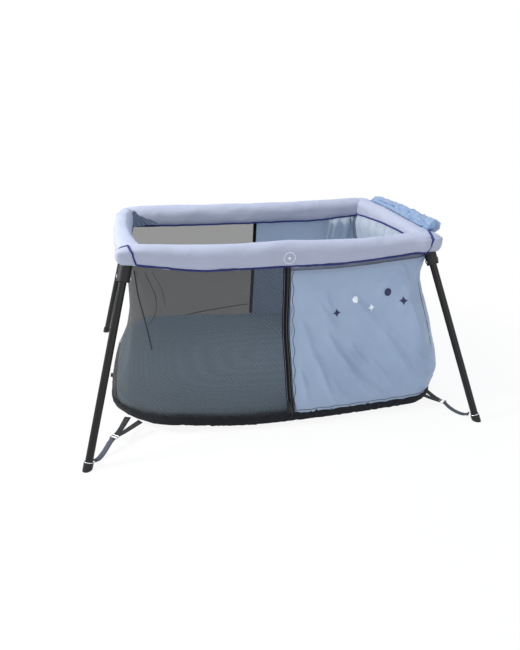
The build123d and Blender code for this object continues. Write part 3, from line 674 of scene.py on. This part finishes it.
legAxis = (0.505, 0.297)
# each corner: an elbow of cover, and a cap over the leg joint bounded by an arch of piping
caps = {
    "frontLeft": {"from": 0.25, "to": 0.64, "apex": 64, "foot": -50, "reach": (0.5377, 0.331), "round": 1.35},
    "frontRight": {"from": 0.34, "to": 0.90, "apex": 74, "foot": -36, "reach": (0.5340, 0.326), "round": 3.6},
    "rearLeft": {"from": 0.22, "to": 0.80, "apex": 24, "foot": -50, "reach": (0.5480, 0.329), "round": 2.2},
    "rearRight": {"from": 0.22, "to": 0.80, "apex": 40, "foot": -50, "reach": (0.5450, 0.329), "round": 2.2}}


def capSwell(centre, outward, reach):
    # how far the cap stands out to fill a squarer corner than the sleeve makes
    ways = [(limit - abs(c)) / max(0.05, abs(o)) for limit, c, o in zip(reach, centre, outward)]
    # the nearer limit counts, blended over a little width so that no ridge shows
    blend = 0.012
    soft = -blend * math.log(sum(math.exp(-w / blend) for w in ways))
    return max(0.0, soft - rimHalf(*centre))


for sideName, side in (("front", -1), ("rear", 1)):
    for endName, end in (("left", -1), ("right", 1)):
        label = f"{sideName}{endName.title()}"
        cap = caps[label]
        half, endBody = f"{sideName}_{endName}_half", f"{endName}_end"
        stations = elbowStations(end, side)
        seam = [innerSeam + (highSeam(*place) - innerSeam) * smoothStep(t, 0.25, 1) * (end > 0)
            for t, place in zip(np.linspace(0, 1, len(stations)), stations)]
        pieces = [makeCover(f"{label}CornerCover", stations, crease=0.30 if label == "rearRight" else None),
            makePiping(f"{label}InnerPiping", stations, seam)]
        low, high = cap["from"], cap["to"]
        bottom, apex = math.radians(cap["foot"]), math.radians(cap["apex"])
        capRows, arch = [], []
        for phi in np.linspace(0, math.pi, 57):
            s = -math.copysign(abs(math.cos(phi)) ** (2 / cap["round"]), math.cos(phi))
            reach = max(0.0, math.sin(phi)) ** (2 / cap["round"])
            centre, outward = elbowPoint(end, side, (low + high) / 2 + s * (high - low) / 2)
            swell = capSwell(centre, outward, cap["reach"]) * min(1.0, 4 * (1 - abs(s))) ** 0.5
            row = []
            for v in np.linspace(0, 1, 21):
                shape = math.sin(math.pi * (0.30 + 0.70 * v)) ** 0.6 if v < 1 else 0
                angle = bottom + (apex - bottom) * reach * v
                place = rimSection(centre, outward, angle, 0.0012 + swell * (shape if v > 0.29 else 1))
                place.z = rimSection(centre, outward, angle, 0.0012).z
                row.append(place)
            arch.append(np.array(row[-1]))
            lip = np.array(row[0])
            axis = np.array([end * legAxis[0], side * legAxis[1], lip[2]])
            under = [axis + (lip - axis) * k + (0, 0, dz) for k, dz in ((0.5, 0.004), (0.85, -0.0015))]
            capRows.append(under + [np.array(p) for p in row])
        capPiece = makeGrid(f"{label}CornerCap", capRows, rimTricot)
        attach(capPiece, endBody)
        before, after = (
            [np.array(rimSection(c, o, outerSeam, 0.0022)) for c, o in elbowStations(end, side, *part, 7)]
            for part in ((0, low), (high, 1)))
        archLine = throughPoints(before[:-1] + arch[3:-3] + after[1:], 150)
        pieces.append(makeTube(f"{label}ArchPiping", archLine, rim["pipe"], navyPiping))
        for piece in pieces:
            followCorner(piece, half, endBody)

# pleated gusset inside the rear left corner, dark with painted shade
gusset = {"top": (-0.4880, 0.2650, 0.6320), "side": (-0.3900, 0.2515, 0.5780),
    "foot": (-0.4905, 0.2250, 0.5740), "pleat": (0.00088, -0.00198, 0)}
a, b, c = (np.array(gusset[k]) for k in ("top", "side", "foot"))
gussetRows = []
for s in np.linspace(0, 1, 31):
    edge = b + (c - b) * s
    pleat = np.array(gusset["pleat"]) * math.sin(s * 34)
    gussetRows.append([a + (edge - a) * max(t, 0.03) + pleat * t for t in np.linspace(0, 1, 15)])
shadedGussetPiece = makeGrid("rearLeftShadedGusset", gussetRows, shadedGussetSatin)
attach(shadedGussetPiece, "left_end")

# ring and dot printed where the release button is pressed
pressMark = {"height": 0.583, "x": 0.0024, "ring": (0.0176, 0.0194), "dot": (0.0002, 0.0042),
    "proud": 0.0014}


def sleevePoint(x, z, side, proud):
    def at(angle):
        return rimSection((x, side * cornerY), (0, side), angle, proud)
    return at(halveTo(math.radians(-70), math.radians(70), lambda angle: at(angle).z < z))


for sideName, side in (("front", -1), ("rear", 1)):
    for label, radii in (("Ring", pressMark["ring"]), ("Dot", pressMark["dot"])):
        rows = [[sleevePoint(pressMark["x"] + r * math.cos(t), pressMark["height"] + r * math.sin(t), side,
            pressMark["proud"]) for r in np.linspace(*radii, 3)] for t in turn(56)]
        mark = makeGrid(f"{sideName}Press{label}", rows, whiteInk, loop=True)
        followSide(mark)
print("rim is covered")


# Basket: net on the left half, satin on the right half, hung from the rim to the base

# radii run front right, rear right, rear left, front left
topShape = {"halfX": 0.497, "halfY": 0.306, "bowX": 0.020, "bowY": 0.002, "radii": (0.06, 0.06, 0.06, 0.06)}
baseShape = {"halfX": 0.592, "halfY": 0.378, "bowX": 0.020, "bowY": 0.030, "radii": (0.120, 0.11, 0.10, 0.21)}
basket = {"low": 0.044, "pullIn": 0.018, "cornerLift": 0.020}
# where each side and each corner starts, as shares of the way round
marks = (0.0, 0.15, 0.20, 0.30, 0.35, 0.65, 0.70, 0.80, 0.85, 1.0)


def outlinePoint(shape, u, inset=0.0):
    # u from 0 to 1: the middle of the front, round the right end, the rear and the left end
    u %= 1.0
    part = max(i for i in range(9) if u >= marks[i])
    t = (u - marks[part]) / (marks[part + 1] - marks[part])
    halfX, halfY = shape["halfX"] - inset, shape["halfY"] - inset
    fr, rr, rl, fl = (max(0.02, r - inset) for r in shape["radii"])
    if part in (0, 2, 4, 6, 8):
        a, b = {0: ((0, -halfY), (halfX - fr, -halfY)), 2: ((halfX, -halfY + fr), (halfX, halfY - rr)),
            4: ((halfX - rr, halfY), (-halfX + rl, halfY)), 6: ((-halfX, halfY - rl), (-halfX, -halfY + fl)),
            8: ((-halfX + fl, -halfY), (0, -halfY))}[part]
        x, y = a[0] + (b[0] - a[0]) * t, a[1] + (b[1] - a[1]) * t
    else:
        sx, sy, r, start = {1: (1, -1, fr, -0.5), 3: (1, 1, rr, 0.0), 5: (-1, 1, rl, 0.5),
            7: (-1, -1, fl, 1.0)}[part]
        angle = math.pi * (start + 0.5 * t)
        x = sx * (halfX - r) + r * math.cos(angle)
        y = sy * (halfY - r) + r * math.sin(angle)
    bowX = shape["bowX"] * max(0, 1 - (y / halfY) ** 2) * min(1, abs(x) / halfX) ** 8
    bowY = shape["bowY"] * max(0, 1 - (x / halfX) ** 2) * min(1, abs(y) / halfY) ** 8
    return np.array([x + math.copysign(bowX, x), y + math.copysign(bowY, y)])


def frontLeftness(u):
    return bell(u % 1.0, 0.825, 0.06)


def floorLift(u, k=1.0):
    # the front left corner of the base stands off the ground; k is the way out from the middle
    return basket["cornerLift"] * frontLeftness(u) * 0.8 * k ** 6


def basePoint(u, inset=0.0):
    place = outlinePoint(baseShape, u, inset)
    if place[1] < 0:
        place[1] += basket["pullIn"] * smoothStep(-place[0], 0.08, 0.40)
    return place


# how far the front right corner stands out from the rim to the base, from the base up
cornerHeights = (0.0, 0.06, 0.15, 0.275, 0.40, 0.50, 0.58, 0.65, 0.69, 0.785, 0.836, 0.90, 0.945, 1.0)
cornerShares = (1.0, 1.08, 1.16, 1.00, 0.77, 0.60, 0.43, 0.29, 0.20, 0.05, 0.04, 0.12, 0.185, 0.17)


def wallPoint(u, v):
    # v from 0 at the base to 1 under the rim
    base, top = basePoint(u), outlinePoint(topShape, u)
    u %= 1.0
    leftEnd = float(smoothStep(u, 0.645, 0.69) * (1 - smoothStep(u, 0.79, 0.86)))
    frontRight = min(1.0, 1.15 * bell(u, 0.178, 0.034))
    share = (1 - v) ** (1.12 + 2.1 * leftEnd)
    share = share * (1 - frontRight) + float(np.interp(v, cornerHeights, cornerShares)) * frontRight
    plan = top * (1 - share) + base * share
    low = basket["low"] + basket["cornerLift"] * frontLeftness(u)
    high = rimLow(top[0], top[1]) + 0.004
    return np.array([plan[0], plan[1], low + (high - low) * v])


frontSatin = {"wide": 0.52, "tall": 0.51, "top": 0.955, "edge": 0.0042, "wander": (0.0011, 0.0006),
    "swell": 0.0030, "crease": 0.0042, "foldGain": 1.35}
satinWide, satinTall = frontSatin["wide"], frontSatin["tall"]
# drag folds in the front satin: start and end as shares of its width and height, depth and width in metres
satinFolds = ((0.19, 0.74, 0.34, 0.56, 0.010, 0.013), (0.42, 0.79, 0.62, 0.54, 0.009, 0.015),
    (0.25, 0.52, 0.48, 0.20, 0.014, 0.013), (0.17, 0.38, 0.31, 0.05, 0.016, 0.012),
    (0.36, 0.35, 0.58, 0.04, 0.014, 0.013), (0.56, 0.34, 0.74, 0.04, 0.010, 0.013),
    (0.24, 0.82, 0.31, 0.67, 0.007, 0.011), (0.42, 0.45, 0.54, 0.26, 0.010, 0.011),
    (0.64, 0.50, 0.86, 0.14, 0.009, 0.018), (0.76, 0.93, 0.87, 0.76, 0.010, 0.011),
    (0.90, 0.90, 0.80, 0.60, 0.007, 0.020), (0.08, 0.62, 0.20, 0.30, 0.009, 0.013),
    (0.06, 0.30, 0.14, 0.06, 0.010, 0.011), (0.84, 0.70, 0.95, 0.40, 0.009, 0.022),
    (0.50, 0.20, 0.66, 0.02, 0.007, 0.009), (0.28, 0.22, 0.42, 0.02, 0.008, 0.009))


def frontFold(u, v):
    x, z = u / cornerU, v
    across, along = x * 0.34 + z * 0.38, x * 0.38 - z * 0.34
    depth = frontSatin["swell"] * ripple(x * 3.2 - z * 1.1, z * 1.6 + x * 1.2, 4)
    # many small sharp creases that run the same way as the large ones
    crease = (1 - abs(ripple(across * 26, along * 5 + 3, 2)) * 2.2)
    spread = 0.35 + 0.65 * ripple(x * 2.5, z * 2.5, 11) + 0.3 * (1 - z)
    depth += frontSatin["crease"] * max(0, crease) ** 2 * spread
    for x0, z0, x1, z1, height, width in satinFolds:
        dx, dz = (x1 - x0) * satinWide, (z1 - z0) * satinTall
        length = math.hypot(dx, dz)
        px, pz = (x - x0) * satinWide, (z - z0) * satinTall
        along = (px * dx + pz * dz) / length / length
        off = (px * dz - pz * dx) / length + 0.004 * math.sin(along * 4 + x0 * 9)
        ridge = frontSatin["foldGain"] * height * math.exp(-abs(off / width) ** 1.5)
        depth += ridge * math.exp(-((along - 0.5) / 0.46) ** 4)
    return depth


def sidewaysFold(u, v, node):
    place = wallPoint(u, v)
    if node == "front_satin_wall":
        return frontFold(u, v)
    if node == "right_satin_wall":
        waves = math.sin(place[1] * 150 + 1.5 * ripple(place[1] * 20, v))
        pleats = 0.0065 * waves * smoothStep(v, 0.25, 0.75)
        return pleats * (0.45 + 0.55 * bell(place[1], 0.2, 0.14)) + 0.006 * ripple(place[1] * 5, v * 3, 7)
    if node == "rear_satin_wall":
        pleats = 0.006 * math.sin(place[0] * 130) * smoothStep(v, 0.3, 0.8) * bell(place[0], 0.46, 0.09)
        return pleats + 0.005 * ripple(place[0] * 6, v * 3, 8)
    return 0.004 * ripple(place[0] * 5, place[1] * 5, v * 3)


def panelPoint(u, v, node, proud=0.0):
    place = wallPoint(u, v)
    step = wallPoint(u + 0.0008, v) - wallPoint(u - 0.0008, v)
    outward = Vector((step[1], -step[0], 0)).normalized()
    fade = math.sin(math.pi * min(1, max(0, v))) ** 0.35 if 0 < v < 1 else 0
    if node == "front_satin_wall":
        fade *= smoothStep(u, 0.0, 0.012)
    depth = sidewaysFold(u, v, node) * fade + proud
    return place + np.array(outward) * depth


cornerU, rearSplit = 0.175, 0.4932
spans = {"front_satin_wall": (0.0, cornerU), "right_satin_wall": (cornerU, 0.5 - cornerU),
    "rear_satin_wall": (0.5 - cornerU, rearSplit), "rear_mesh_wall": (rearSplit, 0.5 + cornerU),
    "left_mesh_wall": (0.5 + cornerU, 1 - cornerU), "front_mesh_wall": (1 - cornerU, 1.0)}
bodyOf = {n: "right_end" if "satin" in n else "left_end" for n in spans}


def settle(piece, body):
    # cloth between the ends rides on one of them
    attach(piece, body)
    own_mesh(piece)


for node, span in spans.items():
    satinFront = node == "front_satin_wall"
    topV = frontSatin["top"] if satinFront else 1.0
    grid = []
    for i in range(101):
        share = i / 100
        row = []
        for j in range(71):
            v = topV * j / 70
            # the satin starts beside the zip, along an edge that wanders a little
            slow, quick = frontSatin["wander"]
            edge = frontSatin["edge"] + slow * math.sin(v * 47) + quick * math.sin(v * 91)
            first = span[0] + (edge if satinFront else 0)
            u = first + (span[1] - first) * share
            place = panelPoint(u, v, node, 0.002 if satinFront else 0)
            if satinFront:
                # the lower edge is drawn up between its stitches, and its inner corner hangs lowest
                droop = 0.004 * abs(math.sin(share * 24)) - 0.012 * math.exp(-share / 0.05)
                place[2] += droop * (1 - v / topV) ** 4
            row.append(place)
        grid.append(row)
    material = wallSatin if "satin" in node else blackNet
    panel = makeGrid(node.replace("_wall", "_panel"), grid, material)
    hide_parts(node)
    # about the height from the base to the rim
    drop = 0.53
    settle(panel, bodyOf[node])

# inside the right end the satin is sewn to the high seam and falls in pleats, drawn in the lighter lining
# satin with painted light
liningLook = {"from": 0.21, "to": 0.388, "turn": 0.318, "foot": 0.50, "kneeZ": 0.551, "kneeShare": 0.2,
    "pleat": 0.0045, "drop": 0.28}
liningRows = []
for i, u in enumerate(np.linspace(liningLook["from"], liningLook["to"], 181)):
    behind = "right_satin_wall" if u < 0.5 - cornerU else "rear_satin_wall"
    wall = np.array(panelPoint(u, liningLook["foot"], behind))
    y = float(np.clip(wall[1], -0.225, 0.225))
    if u < liningLook["turn"]:
        seam = np.array(rimSection((endX(y), y), (1, 0), highSeam((endX(y), y), (1, 0)), 0.0006))
        seam[1] = wall[1] * 0.93
        inside = np.array([-1.0, 0, 0])
    else:
        seam = np.array(rimSection((min(wall[0], 0.44), cornerY), (0, 1), innerSeam, 0.0006))
        seam[0] = min(seam[0], wall[0])
        inside = np.array([0, -1.0, 0])
    knee = seam + inside * 0.0040
    knee[2] = liningLook["kneeZ"]
    bend = liningLook["kneeShare"]
    row = []
    for t in np.linspace(0, 1, 17):
        if t < bend:
            place = seam + (knee - seam) * t / bend
        else:
            place = knee + (wall + inside * 0.006 - knee) * (t - bend) / (1 - bend)
        fold = 1 + math.sin(i * 0.42 + 1.4 * ripple(i * 0.05, t))
        pleat = liningLook["pleat"] * fold * math.sin(math.pi * min(1, t * 1.1 + 0.05))
        row.append(place + inside * (pleat + 0.003 * math.sin(math.pi * t)))
    liningRows.append(row)
lining = makeGrid("rightLining", liningRows, litLiningSatin)
settle(lining, "right_end")

# grey tape between the front rim and the top of the satin; its grey is partly painted shade from under the
# rim
tapeRows = [[panelPoint(u, v, "tape", -0.003) for v in np.linspace(0.93, 1.0, 6)]
    for u in np.linspace(0.003, cornerU, 91)]
hem = makeGrid("satinTopShadedTape", tapeRows, greyTapeWithShade)
settle(hem, "right_end")


def netPoint(x, z):
    # the place on the front left net at a given x and height
    def share(u):
        foot, head = wallPoint(u, 0)[2], wallPoint(u, 1)[2]
        return min(1.0, max(0.0, (z - foot) / (head - foot)))
    u = halveTo(0.80, 0.9999, lambda u: wallPoint(u, share(u))[0] < x, 30)
    return panelPoint(u, share(u), "plain", 0.001)


def stitch(name, points, radius=0.0009, body="right_end", material=None):
    settle(makeTube(name, points, radius, material or sewingThread, sides=6), body)


sideLine = [(0.0064 + 0.0010 * math.sin(v * 47), v) for v in np.linspace(0.02, 0.95, 80)]
footLine = [(u, 0.018 + 0.006 * abs(math.sin(u / cornerU * 24)))
    for u in np.linspace(0.008, cornerU - 0.004, 90)]
for label, seamLine in (("satinSideStitch", sideLine), ("satinFootStitch", footLine)):
    stitch(label, [panelPoint(u, v, "front_satin_wall", 0.0026) for u, v in seamLine])

for label, u in (("frontRightSeam", cornerU), ("rearRightSeam", 0.5 - cornerU)):
    stitch(label, [panelPoint(u, v, "plain", 0.0005) for v in np.linspace(0.0, 1.0, 60)])
# bound seam at the front left corner of the net, and thin dark lines drawn on the rear and front net
rearNetDarkPath = throughPoints([(0.60, 0.112), (0.57, 0.143), (0.53, 0.172), (0.496, 0.190)], 50)
stitch("rearNetDarkLine", [panelPoint(u, v, "plain", 0.001) for u, v in rearNetDarkPath], 0.0018, "left_end")
for label, radius, points in (
        ("frontLeftSeam", 0.0022, [(-0.484, 0.556), (-0.478, 0.48), (-0.464, 0.40), (-0.450, 0.30)]),
        ("frontNetDarkLine", 0.0009, [(-0.452, 0.556), (-0.425, 0.475), (-0.432, 0.42), (-0.455, 0.385)]),
        ("frontNetFineDarkLine", 0.0006, [(-0.430, 0.556), (-0.405, 0.50), (-0.398, 0.45)])):
    stitch(label, [netPoint(x, z) for x, z in throughPoints(points, 40)], radius, "left_end")
print("basket walls hang")


# Printed dots and four-pointed stars on the front satin

starPower = 0.62  # below 1 the sides of a star curve inward
# place as shares of the satin's width and height, kind, half size and ink
prints = ((0.33, 0.665, "star", 0.0160, navyInk), (0.455, 0.745, "dot", 0.0105, whiteInk),
    (0.570, 0.675, "star", 0.0140, whiteInk), (0.690, 0.760, "dot", 0.0130, navyInk),
    (0.800, 0.690, "star", 0.0160, navyInk))
for i, (x, z, kind, size, ink) in enumerate(prints):
    rows = []
    for t in turn(48):
        hollow = (abs(math.cos(t)) ** starPower + abs(math.sin(t)) ** starPower) ** (1 / starPower)
        edge = size if kind == "dot" else size / hollow
        rows.append([panelPoint((x * satinWide + r * edge * math.cos(t)) / satinWide * cornerU,
            z + r * edge * math.sin(t) / satinTall, "front_satin_wall", 0.0032) for r in (0.02, 0.5, 1.0)])
    mark = makeGrid(f"print{kind.title()}{i + 1}", rows, ink, loop=True)
    settle(mark, "right_end")


# Base: a felt-covered floor with a padded band round it

base = {"low": 0.014, "high": 0.052, "bandWidth": 0.016, "wave": 0.0026, "fuzz": 0.0012}
bandRows = []
for i in range(320):
    u = i / 320
    plan = basePoint(u)
    along = basePoint(u + 0.001) - basePoint(u - 0.001)
    along /= np.linalg.norm(along)
    outward = np.array([along[1], -along[0]])
    lift = floorLift(u)
    leftEnd = float(smoothStep(u, 0.62, 0.70) * (1 - smoothStep(u, 0.80, 0.845)))
    low = base["low"] + lift
    high = base["high"] + lift - 0.020 * leftEnd
    row = []
    for a in turn(24):
        c, s = math.cos(a), math.sin(a)
        wave = base["wave"] * ripple(i * 0.55, a * 1.2, 5) + base["fuzz"] * ripple(i * 1.7, a * 3, 2)
        off = math.copysign(abs(c) ** 0.7, c) * (base["bandWidth"] / 2 + wave) - base["bandWidth"] / 2 + 0.003
        z = (low + high) / 2 + math.copysign(abs(s) ** 0.8, s) * ((high - low) / 2 + wave)
        row.append((plan[0] + outward[0] * off, plan[1] + outward[1] * off, z))
    bandRows.append(row)
band = makeGrid("baseBand", bandRows, baseFelt, around=True, loop=True)
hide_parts("base_panel")
settle(band, "left_end")

floorRows = []
for k in np.linspace(0.001, 1, 14):
    plan = [(i / 140, *(basePoint(i / 140, 0.008) * k)) for i in range(140)]
    floorRows.append([(x, y, base["low"] + 0.004 + 0.001 * ripple(x * 9, y * 9) + floorLift(u, k))
        for u, x, y in plan])
baseSheet = makeGrid("baseFloor", floorRows, baseFelt, around=True)
settle(baseSheet, "left_end")

mattress = {"inset": 0.016, "low": 0.019, "top": 0.063, "rearCurl": 0.075, "leftCurl": 0.014, "round": 0.012,
    "crown": 0.004, "dents": 0.0030, "lumps": 0.0008, "crease": -0.0030}


def mattressTop(x, y):
    crown = mattress["crown"] * (1 - (x / 0.6) ** 2)
    crown += mattress["dents"] * ripple(x * 7, y * 7, 2) + mattress["lumps"] * ripple(x * 30, y * 30, 6)
    rear = smoothStep(y, 0.22, 0.362) * mattress["rearCurl"] * float(np.clip((0.30 - x) / 0.8, 0, 1)) ** 0.8
    left = smoothStep(-x, 0.48, 0.585) * mattress["leftCurl"]
    # one long crease where the folded pad never quite flattens
    arc = math.hypot(x + 0.42, (y - 0.34) * 0.9)
    crease = mattress["crease"] * bell(arc, 0.46, 0.012) * smoothStep(-y, -0.30, -0.1)
    return mattress["top"] + crown + max(rear, left) + crease


mattressRows = []
for k in list(np.linspace(0.0015, 0.9, 24)) + [0.93, 0.955, 0.975, 0.99, 1.0]:
    row = []
    for i in range(200):
        x, y = basePoint(i / 200, mattress["inset"]) * k
        drop = mattress["round"] * max(0, (k - 0.94) / 0.06) ** 2
        height = mattressTop(x, y) - drop + floorLift(i / 200, k)
        # where the edge curls up it leans in with the wall
        lean = 1 - 0.85 * max(0.0, height - 0.066) * k ** 4
        row.append((x * lean, y * lean, height))
    mattressRows.append(row)
# down the edge, and back to the middle underneath
for k, z in ((1, 0.046), (1, 0.032), (1, mattress["low"]), (0.95, mattress["low"]), (0.5, mattress["low"]),
        (0.0015, mattress["low"])):
    mattressRows.append([(*(basePoint(i / 200, mattress["inset"]) * k), z + floorLift(i / 200, k))
        for i in range(200)])
pad = makeGrid("mattressPad", mattressRows, mattressOxford, around=True)
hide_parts("mattress")
settle(pad, "left_end")
print("base and mattress are in")


# Zip down the middle of the front, and the narrow tape opposite

zipper = {"width": 0.026, "coil": 0.0022, "thick": 0.0016, "stitch": 0.0092, "rearWidth": 0.015,
    "rearX": 0.021}


def zipSway(v):
    return -0.008 * bell(v, 0.58, 0.22) + 0.007 * bell(v, 0.0, 0.12)


def middleLine(low, high, proud, side=-1, x=0.0, count=60):
    line = []
    for v in np.linspace(low, high, count):
        place = wallPoint(0.0001, v)
        line.append((x + (zipSway(v) if side < 0 else 0), side * (abs(place[1]) + proud), place[2]))
    return line


for name, points, width in (("zipTape", middleLine(0.0, 0.99, 0.0030), zipper["width"]),
        ("rearTape", middleLine(0.10, 0.99, -0.0045, 1, zipper["rearX"]), zipper["rearWidth"])):
    strip = makeStrap(name, points, (1, 0, 0), width, zipper["thick"], zipTwill)
    if name == "zipTape":
        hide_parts("zip_tape")
    settle(strip, "left_end")
coilLine = middleLine(0.0, 0.985, 0.0044, x=0.002, count=500)
coil = makeTube("zipCoil", coilLine, [zipper["coil"] * (1 + 0.22 * math.sin(i * 1.9)) for i in range(500)],
    nylonCoil, sides=8)
settle(coil, "left_end")
for edge in (-1, 1):
    stitch(f"zipEdgeStitch{'Left' if edge < 0 else 'Right'}",
        [(x + edge * zipper["stitch"], y - 0.0012, z) for x, y, z in middleLine(0.01, 0.98, 0.0030)], 0.0006,
        "left_end", greyTapeWithShade)


# Canopy rolled up on the outer shoulder of the right end

canopy = {"side": 0.042, "centre": 0.644, "radius": 0.026, "low": -0.252, "high": 0.262,
    "pucker": 0.0062, "fine": 0.0030, "seam": 0.0045, "tied": 0.072}
rollRows = []
for y in np.linspace(canopy["low"], canopy["high"], 190):
    x = endX(max(-0.284, min(0.284, y))) + canopy["side"]
    closing = min(1.0, (y - canopy["low"]) / 0.024, (canopy["high"] - y) / 0.030)
    radius = canopy["radius"] * math.sqrt(max(0.03, 1 - (1 - closing) ** 2))
    radius *= 0.86 + 0.16 * bell(y, canopy["low"] + 0.03, 0.035) + 0.10 * bell(y, 0.20, 0.05)
    radius *= 1 - 0.20 * bell(y, canopy["low"] + canopy["tied"], 0.012)
    row = []
    for a in turn(56):
        pucker = canopy["pucker"] * ripple(y * 30, a * 1.6, 1) * closing
        pucker += canopy["fine"] * ripple(y * 95, a * 0.9, 5) * closing
        pucker -= canopy["seam"] * bell(math.sin((a - 2.5 - 0.9 * ripple(y * 6, 3)) / 2), 0, 0.10) * closing
        r = radius + pucker
        row.append((x + r * math.cos(a) * 1.08, y, canopy["centre"] + r * math.sin(a) * 0.96))
    rollRows.append(row)
roll = makeGrid("canopyRoll", rollRows, canopyNylon, around=True, capped=True)
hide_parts("canopy_roll")
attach(roll, "right_end")
# the gathered edge that lies on the sleeve
ruffle = {"from": -0.205, "length": 0.43, "steps": 260}
ruffleRows = []
for i in range(ruffle["steps"] + 1):
    y = ruffle["from"] + ruffle["length"] * i / ruffle["steps"]
    gather = math.sin(i * 0.62 + 1.3 * ripple(i * 0.05, 2))
    x = endX(y) + canopy["side"] - 0.021
    z = rimTop(0.5, y)
    ruffleRows.append([(x + 0.0009 * gather, y, z + 0.010),
        (x - 0.006, y + 0.001 * gather, z + 0.0065 + 0.0016 * gather),
        (x - 0.012, y + 0.0015 * gather, z + 0.0035 + 0.0026 * gather),
        (x - 0.017 - 0.002 * gather, y, z + 0.0032 + 0.0032 * gather)])
rufflePiece = makeGrid("canopyRuffle", ruffleRows, canopyNylon)
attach(rufflePiece, "right_end")
print("canopy is rolled up")


# Stage: pale floor, white surround, soft lamps

stage = {"floor": "#EFEFEF", "sky": (0.80, 0.87, 1.0), "skyStrength": 0.62, "nearGlow": 0.90}


def seenByLens(tree):
    path = addNode(tree, "ShaderNodeLightPath")
    seen = addNode(tree, "ShaderNodeMath", {0: path.outputs["Is Camera Ray"],
        1: path.outputs["Is Glossy Ray"]}, operation="MAXIMUM")
    return addNode(tree, "ShaderNodeMath", {0: seen.outputs[0],
        1: path.outputs["Is Transmission Ray"]}, operation="MAXIMUM")


floorMaterial, tree = startMaterial("pale paper floor")
paper = addNode(tree, "ShaderNodeBsdfDiffuse", {"Color": linear(stage["floor"])})
glow = addNode(tree, "ShaderNodeEmission", {"Color": (1, 1, 1, 1), "Strength": 1.0})
place = addNode(tree, "ShaderNodeTexCoord").outputs["Object"]
distance = addNode(tree, "ShaderNodeVectorMath", {0: place}, operation="LENGTH")
# the shadow stays near the legs, and the paper fades to plain white further off
fade = addNode(tree, "ShaderNodeMapRange", {"Value": distance.outputs["Value"], "From Min": 0.8,
    "From Max": 1.7, "To Min": stage["nearGlow"], "To Max": 1.0}, interpolation_type="SMOOTHSTEP")
part = addNode(tree, "ShaderNodeMath", {0: seenByLens(tree).outputs[0], 1: fade.outputs[0]},
    operation="MULTIPLY")
mixed = addNode(tree, "ShaderNodeMixShader", {0: part.outputs[0], 1: paper.outputs[0], 2: glow.outputs[0]})
addNode(tree, "ShaderNodeOutputMaterial", {"Surface": mixed.outputs[0]})
floorPiece = addPiece("floor", [(-6, -6, -0.001), (6, -6, -0.001), (6, 9, -0.001), (-6, 9, -0.001)],
    [(0, 1, 2, 3)], floorMaterial)

world = bpy.data.worlds.new("surround")
bpy.context.scene.world = world
world.use_nodes = True
tree = world.node_tree
tree.nodes.clear()
ambient = addNode(tree, "ShaderNodeBackground", {"Color": (*stage["sky"], 1),
    "Strength": stage["skyStrength"]})
white = addNode(tree, "ShaderNodeBackground", {"Color": (1, 1, 1, 1), "Strength": 1.0})
both = addNode(tree, "ShaderNodeMixShader", {0: seenByLens(tree).outputs[0], 1: ambient.outputs[0],
    2: white.outputs[0]})
addNode(tree, "ShaderNodeOutputWorld", {"Surface": both.outputs[0]})

lamps = {"windowLeft": {"place": (-2.7, -0.1, 2.0), "size": 0.8, "power": 96, "colour": (1, 0.98, 0.95)},
    "fillFront": {"place": (0.9, -3.4, 1.2), "size": 2.6, "power": 18, "colour": (1, 0.95, 0.93)},
    "skyTop": {"place": (0.1, 0.2, 3.2), "size": 3.0, "power": 34, "colour": (0.90, 0.95, 1.0)}}
for name, facts in lamps.items():
    lamp = bpy.data.lights.new(name, "AREA")
    lamp.shape = "DISK"
    lamp.size = facts["size"]
    lamp.energy = facts["power"]
    lamp.color = facts["colour"]
    holder = bpy.data.objects.new(name, lamp)
    bpy.context.scene.collection.objects.link(holder)
    holder.location = facts["place"]
    aim = Vector((0, 0, 0.35)) - Vector(facts["place"])
    holder.rotation_euler = aim.to_track_quat("-Z", "Y").to_euler()
bpy.context.scene.view_settings.view_transform = "Standard"
print("stage and lamps are set")
